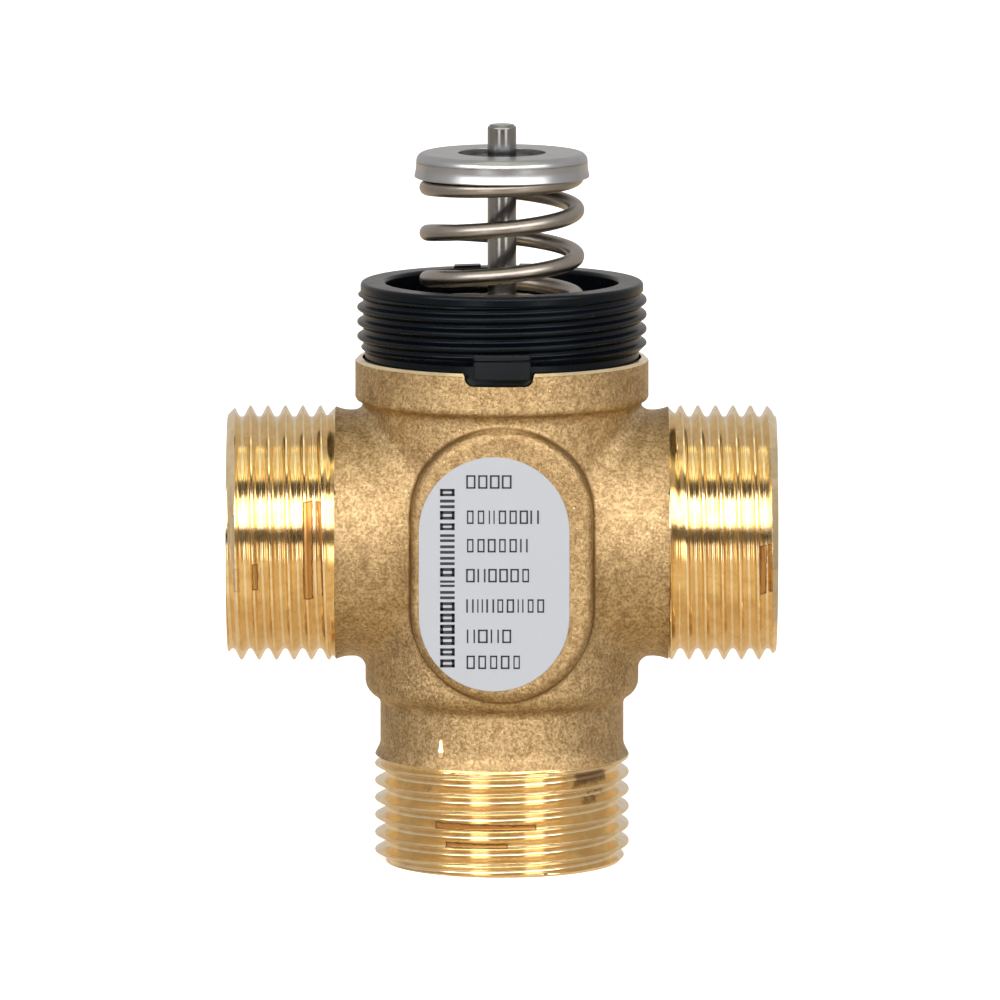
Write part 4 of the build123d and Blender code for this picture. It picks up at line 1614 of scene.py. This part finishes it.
class PrintRowTree:
    """Geometry node tree for a row of thin hollow blocks, each of its own width, standing for print."""

    fill_share: float = 0.72
    widths: tuple = (0.75, 1.15)

    def __init__(self) -> None:
        """Build the tree with named inputs."""
        self.tree = geometry_tree("print_row", ("Pitch", "Height", "Stroke", "Ink"), ("Count", "Seed"))
        self.fill(Graph(self.tree))

    def block(self, graph: Graph, source: bpy.types.NodeOutputs, sides: tuple) -> bpy.types.NodeSocket:
        """Thin bars for some sides of a block whose width is a share of the pitch.

        Args:
            graph: the tree's graph.
            source: the tree's inputs.
            sides: bars as (place across, place up, share of the width, share of the height).

        Returns:
            The joined bars.
        """
        joined = graph.add("GeometryNodeJoinGeometry")
        stroke, high = source["Stroke"], source["Height"]
        wide = graph.math("MULTIPLY", source["Pitch"], self.fill_share)
        thick = graph.math("MULTIPLY", source["Ink"], 2.0)
        for across, up, wide_share, high_share in sides:
            length = graph.math("MAXIMUM", graph.math("MULTIPLY", wide, wide_share), stroke)
            height = graph.math("MAXIMUM", graph.math("MULTIPLY", high, high_share), stroke)
            size = graph.add("ShaderNodeCombineXYZ", {0: length, 1: thick, 2: height})
            bar = graph.add("GeometryNodeMeshCube", {"Size": size.outputs[0]})
            east = graph.math("MULTIPLY", graph.math("SUBTRACT", wide, stroke), across)
            rise = graph.math("MULTIPLY", graph.math("SUBTRACT", high, stroke), up)
            shift = graph.add("ShaderNodeCombineXYZ", {0: east, 2: rise})
            inputs = {"Geometry": bar.outputs[0], "Translation": shift.outputs[0]}
            moved = graph.add("GeometryNodeTransform", inputs)
            self.tree.links.new(moved.outputs[0], joined.inputs[0])
        return joined.outputs[0]

    def fill(self, graph: Graph) -> None:
        """Set one of the blocks, chosen by chance, on each point of a line."""
        source = graph.add("NodeGroupInput").outputs
        uprights = ((-0.5, 0.0, 0.0, 1.0), (0.5, 0.0, 0.0, 1.0))
        levels = ((0.0, 0.5, 1.0, 0.0), (0.0, -0.5, 1.0, 0.0))
        kinds = (uprights + levels, uprights, uprights + levels)
        choices = graph.add("GeometryNodeGeometryToInstance")
        for sides in reversed(kinds):
            self.tree.links.new(self.block(graph, source, sides), choices.inputs[0])
        start = graph.add("ShaderNodeCombineXYZ", {0: graph.math("MULTIPLY", source["Pitch"], 0.5)})
        step = graph.add("ShaderNodeCombineXYZ", {0: source["Pitch"]})
        inputs = {"Count": source["Count"], "Start Location": start.outputs[0], "Offset": step.outputs[0]}
        line = graph.add("GeometryNodeMeshLine", inputs)
        pick = graph.add("FunctionNodeRandomValue", {"Seed": source["Seed"]}, data_type="INT")
        pick.inputs[4].default_value = 0
        pick.inputs[5].default_value = len(kinds) - 1
        width = graph.add("FunctionNodeRandomValue", {"Seed": source["Seed"]}, data_type="FLOAT")
        width.inputs[2].default_value, width.inputs[3].default_value = self.widths
        scale = graph.add("ShaderNodeCombineXYZ", {0: width.outputs[1], 1: 1.0, 2: 1.0})
        inputs = {"Points": line.outputs[0], "Instance": choices.outputs[0], "Pick Instance": True}
        row = graph.add("GeometryNodeInstanceOnPoints", inputs)
        graph.put(row.inputs["Instance Index"], pick.outputs[2])
        graph.put(row.inputs["Scale"], scale.outputs[0])
        graph.hand_out(row.outputs[0], source["Finish"])


@dataclass
class Label:
    """Foil label on the boss, printed with plain rows of blocks."""

    width: float = 15.5
    height: float = 24.3
    centre_x: float = -0.8
    centre_z: float = 32.0
    front: float = -14.95
    edge: float = 0.05
    ink: float = 0.012
    row_start: float = -3.8
    row_heights: tuple = (41.6, 37.95, 35.0, 31.9, 28.75, 25.6, 22.9)
    row_lengths: tuple = (4.9, 7.7, 6.6, 6.8, 8.3, 4.9, 5.9)
    row_size: float = 1.4
    stroke: float = 0.17
    column_x: float = -5.6
    column_span: tuple = (22.2, 41.1)
    column_size: float = 1.5
    column_stroke: float = 0.30
    block_pitch: float = 0.78

    def build(self) -> None:
        """Mesh the plate and its print."""
        self.build_plate()
        self.build_print()

    def obround(self, inset: float, depth: float, steps: int = 24) -> list:
        """Points round the label's outline at one depth."""
        half = self.width / 2 - inset
        straight = (self.height - self.width) / 2
        points = []
        for index in range(2 * steps + 2):
            upper = index <= steps
            angle = math.pi * (index if upper else index - 1) / steps
            rise = straight if upper else -straight
            east = self.centre_x + half * math.cos(angle)
            points.append((east, depth, self.centre_z + rise + half * math.sin(angle)))
        return points

    def build_plate(self) -> None:
        """Mesh the foil with a soft edge."""
        rows = (
            self.obround(0.0, Casting.boss_face),
            self.obround(0.0, self.front + self.edge),
            self.obround(self.edge, self.front),
        )
        size = len(rows[0])
        points = [point for row in rows for point in row]
        faces = [tuple(range(size)), tuple(2 * size + index for index in range(size))]
        faces += band_faces(len(rows), size)
        piece = Piece("foil_label", SILVER_FOIL, Body.FIXED, ("data_label",), "label_foil")
        piece.from_points(points, faces)

    def build_print(self) -> None:
        """Mesh the print: rows of thin hollow blocks beside one upright row of heavier ones."""
        tree = PrintRowTree().tree
        for number, (height, length) in enumerate(zip(self.row_heights, self.row_lengths)):
            turn = Matrix.Translation((self.row_start, self.front, height))
            self.print_row(tree, f"label_row_{number + 1}", length, self.row_size, self.stroke, number, turn)
        low, high = self.column_span
        turn = Matrix.Translation((self.column_x, self.front, low)) @ Matrix.Rotation(-math.pi / 2, 4, "Y")
        self.print_row(tree, "label_column", high - low, self.column_size, self.column_stroke, 11, turn)

    def print_row(
        self,
        tree: bpy.types.NodeTree,
        name: str,
        length: float,
        size: float,
        stroke: float,
        seed: int,
        turn: Matrix,
    ) -> None:
        """Mesh one row of blocks.

        Args:
            tree: the row's node tree.
            name: the piece's name.
            length: length of the row.
            size: height of its blocks.
            stroke: width of their lines.
            seed: start of the row's chance.
            turn: place of the row's middle line, with its start at the origin.
        """
        count = round(length / (size * self.block_pitch))
        inputs = {
            "Count": count,
            "Pitch": length / count,
            "Height": size,
            "Stroke": stroke,
            "Ink": self.ink,
            "Seed": seed,
        }
        Piece(name, PRINT, Body.FIXED, (), "label_foil").from_tree(tree, inputs, turn)


# Studio


@dataclass(frozen=True)
class Panel:
    """Patch of the light tent: where it lies as seen from the object, in degrees, and how bright it is."""

    azimuth: float
    elevation: float
    half_width: float
    half_height: float
    tint: tuple
    soft: float = 1.5


@dataclass
class Studio:
    """Pale floor, camera, soft lamps and the light tent that shows in polished metal."""

    distance: float = 1.27
    elevation: float = 7.75
    target: tuple = (-0.0002, 0.0, 0.0377)
    view_angle: float = 4.68
    floor_half: float = 12.0
    floor_lift: float = 0.62
    tent_radius: float = 2.5
    panels: tuple = (
        Panel(0, -50, 180, 48, colour(0.77, 0.62, 0.44), 3.0),
        Panel(98, -16, 30, 24, colour(0.52, 0.47, 0.42), 8.0),
        Panel(-98, -16, 30, 24, colour(0.52, 0.47, 0.42), 8.0),
        Panel(0, -38, 65, 20, colour(0.95, 0.83, 0.66), 6.0),
        Panel(0, -9, 75, 8, colour(0.55, 0.44, 0.33), 4.0),
        Panel(-22, -9, 8.5, 8, colour(3.4, 3.2, 3.0), 1.0),
        Panel(33, -9, 9.0, 8, colour(3.4, 3.2, 3.0), 1.0),
        Panel(0, 5.75, 50, 8.5, colour(0.05, 0.04, 0.034), 1.0),
        Panel(0, 51.5, 50, 9.5, colour(0.07, 0.06, 0.05), 1.0),
        Panel(0, 27.5, 62, 13.5, colour(5.2, 4.95, 4.85), 1.5),
        Panel(0, 77, 90, 16, colour(1.05, 1.02, 0.82), 1.0),
        Panel(180, 87, 90, 8, colour(1.05, 1.02, 0.82), 1.0),
        Panel(0, 64.5, 80, 2.6, colour(2.3, 2.15, 1.5), 0.8),
        Panel(180, 79.7, 60, 2.4, colour(2.3, 2.15, 1.5), 0.8),
    )
    far_tint: tuple = colour(0.64, 0.61, 0.59)

    def build(self) -> None:
        """Set up everything that isn't part of the object."""
        self.build_camera()
        self.build_floor()
        self.build_tent()
        self.build_lamps()
        self.build_world()
        bpy.context.scene.view_settings.view_transform = "Standard"

    def build_camera(self) -> None:
        """Camera at the picture's height, looking at the middle of the object."""
        lens = bpy.data.cameras.new("camera")
        lens.angle = math.radians(self.view_angle)
        lens.clip_start = 0.05
        lens.clip_end = 50.0
        camera = put_in_scene("camera", lens)
        rise = math.radians(self.elevation)
        back = Vector((0.0, -math.cos(rise), math.sin(rise)))
        camera.location = Vector(self.target) + back * self.distance
        camera.rotation_euler = (-back).to_track_quat("-Z", "Y").to_euler()
        bpy.context.scene.camera = camera

    def build_floor(self) -> None:
        """White floor that keeps a soft shadow and stays out of the metal's reflections."""
        half = self.floor_half
        corners = [(-half, -half, 0), (half, -half, 0), (half, half, 0), (-half, half, 0)]
        mesh = bpy.data.meshes.new("floor")
        mesh.from_pydata(corners, [], [(0, 1, 2, 3)])
        floor = put_in_scene("floor", mesh)
        paint = bpy.data.materials.new("floor_white")
        paint.use_nodes = True
        shader = paint.node_tree.nodes["Principled BSDF"]
        shader.inputs["Base Color"].default_value = colour(0.9, 0.9, 0.9)
        shader.inputs["Roughness"].default_value = 1.0
        shader.inputs["Specular IOR Level"].default_value = 0.0
        shader.inputs["Emission Color"].default_value = colour(1.0, 1.0, 1.0)
        graph = Graph(paint.node_tree)
        rays = graph.add("ShaderNodeLightPath")
        seen = graph.math("MULTIPLY", rays.outputs["Is Camera Ray"], self.floor_lift)
        graph.put(shader.inputs["Emission Strength"], seen)
        mesh.materials.append(paint)
        floor.visible_glossy = False

    def build_tent(self) -> None:
        """Sphere of light and dark panels that only reflections see."""
        mesh = bpy.data.meshes.new("light_tent")
        work = bmesh.new()
        bmesh.ops.create_uvsphere(work, u_segments=64, v_segments=32, radius=self.tent_radius)
        work.to_mesh(mesh)
        work.free()
        mesh.shade_smooth()
        tent = put_in_scene("light_tent", mesh)
        cloth = bpy.data.materials.new("tent_light")
        cloth.use_nodes = True
        cloth.node_tree.nodes.clear()
        graph = Graph(cloth.node_tree)
        place = graph.vector("NORMALIZE", graph.add("ShaderNodeTexCoord").outputs["Object"])
        parts = graph.add("ShaderNodeSeparateXYZ", {0: place})
        toward = graph.math("MULTIPLY", parts.outputs[1], -1.0)
        azimuth = graph.math("DEGREES", graph.math("ARCTAN2", parts.outputs[0], toward))
        elevation = graph.math("DEGREES", graph.math("ARCSINE", parts.outputs[2]))
        tone: Value = self.far_tint
        for panel in self.panels:
            aside = graph.math("WRAP", graph.math("SUBTRACT", azimuth, float(panel.azimuth)), 180.0, -180.0)
            aside = graph.math("ABSOLUTE", aside)
            above = graph.math("ABSOLUTE", graph.math("SUBTRACT", elevation, float(panel.elevation)))
            wide = graph.smooth(aside, panel.half_width + panel.soft, panel.half_width - panel.soft)
            high = graph.smooth(above, panel.half_height + panel.soft, panel.half_height - panel.soft)
            tone = graph.mix(graph.math("MULTIPLY", wide, high), tone, panel.tint)
        glow = graph.add("ShaderNodeEmission", {"Color": tone, "Strength": 1.0})
        graph.add("ShaderNodeOutputMaterial", {"Surface": glow.outputs[0]})
        cloth.cycles.emission_sampling = "NONE"
        mesh.materials.append(cloth)
        tent.visible_camera = False
        tent.visible_diffuse = False
        tent.visible_transmission = False
        tent.visible_shadow = False

    def build_lamps(self) -> None:
        """Soft lamps for plastics, print and the floor."""
        self.lamp("key_lamp", (0.0, -0.9, 0.75), 1.1, 7.0)
        self.lamp("left_lamp", (-1.0, -0.5, 0.4), 0.8, 3.0)
        self.lamp("right_lamp", (1.0, -0.5, 0.4), 0.8, 3.0)
        self.lamp("back_lamp", (0.0, 1.0, 0.8), 1.0, 4.0)

    def lamp(self, name: str, place: tuple, size: float, power: float) -> None:
        """Add one square lamp facing the object, unseen in reflections."""
        light = bpy.data.lights.new(name, "AREA")
        light.size = size
        light.energy = power
        lamp = put_in_scene(name, light)
        lamp.location = place
        lamp.rotation_euler = (Vector(self.target) - Vector(place)).to_track_quat("-Z", "Y").to_euler()
        lamp.visible_glossy = False

    def build_world(self) -> None:
        """World that is white where it is seen and softer as a light."""
        world = bpy.data.worlds.new("studio")
        bpy.context.scene.world = world
        world.use_nodes = True
        world.node_tree.nodes.clear()
        graph = Graph(world.node_tree)
        rays = graph.add("ShaderNodeLightPath").outputs
        seen = graph.math("MAXIMUM", rays["Is Camera Ray"], rays["Is Glossy Ray"])
        seen = graph.math("MAXIMUM", seen, rays["Is Transmission Ray"])
        strength = graph.scaled(seen, 0.45, 1.0)
        glow = graph.add("ShaderNodeBackground", {"Color": colour(1.0, 1.0, 1.0), "Strength": strength})
        graph.add("ShaderNodeOutputWorld", {"Surface": glow.outputs[0]})


def dress_hidden_solids() -> None:
    """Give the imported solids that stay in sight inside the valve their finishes."""
    finishes = {
        "guide_bush": WHITE_PLASTIC,
        "seal_spacer": WHITE_PLASTIC,
        "stem_seal_lower": RUBBER,
        "stem_seal_upper": RUBBER,
        "bonnet_seal": RUBBER,
        "lower_seat_seal": RUBBER,
    }
    for node, finish in finishes.items():
        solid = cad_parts[node]
        solid.data.materials.clear()
        solid.data.materials.append(finish.material())


def main() -> None:
    """Build the valve piece by piece, then the studio round it."""
    logging.basicConfig(level=logging.INFO, format="%(message)s")
    threads = ThreadTree()
    Casting().build()
    left_spots = (
        (-19.96, -0.2, 0.5, 5.1, Mark.RUSTY),
        (-25.4, -2.9, 0.3, 1.4, Mark.RUSTY),
        (-27.3, -3.2, 0.3, 1.25, Mark.FAINT),
    )
    right_spots = (
        (26.9, -2.2, 0.35, 2.6, Mark.RUSTY),
        (27.9, 8.5, 0.5, 1.4, Mark.OLIVE),
        (27.9, 2.0, 0.5, 4.1, Mark.OLIVE),
    )
    foot_spots = (
        (5.3, -1.66, 0.3, 5.2, Mark.RUSTY),
        (3.4, -2.6, 0.25, 3.2, Mark.RUSTY),
        (9.9, 9.2, 0.45, 1.5, Mark.DARK),
        (8.4, 9.5, 0.2, 0.8, Mark.DARK),
        (9.0, -7.6, 0.1, 0.35, Mark.DARK),
    )
    Port("left_port", Direction.ACROSS, -28.45, -17.25, -22.89, 12.25, 13.05, 9.0, left_spots).build(threads)
    Port("right_port", Direction.ACROSS, 17.25, 28.45, 21.74, 13.05, 12.25, 9.0, right_spots).build(threads)
    Port("bottom_port", Direction.UP, 0.0, 11.2, 5.6, 12.25, 13.15, 9.5, foot_spots).build(threads)
    Collar().build(threads)
    Bonnet().build()
    ReturnSpring().build()
    SpringCap().build()
    StemAndPlug().build()
    LowerSeat().build()
    Label().build()
    dress_hidden_solids()
    Studio().build()


if __name__ == "__main__":
    main()
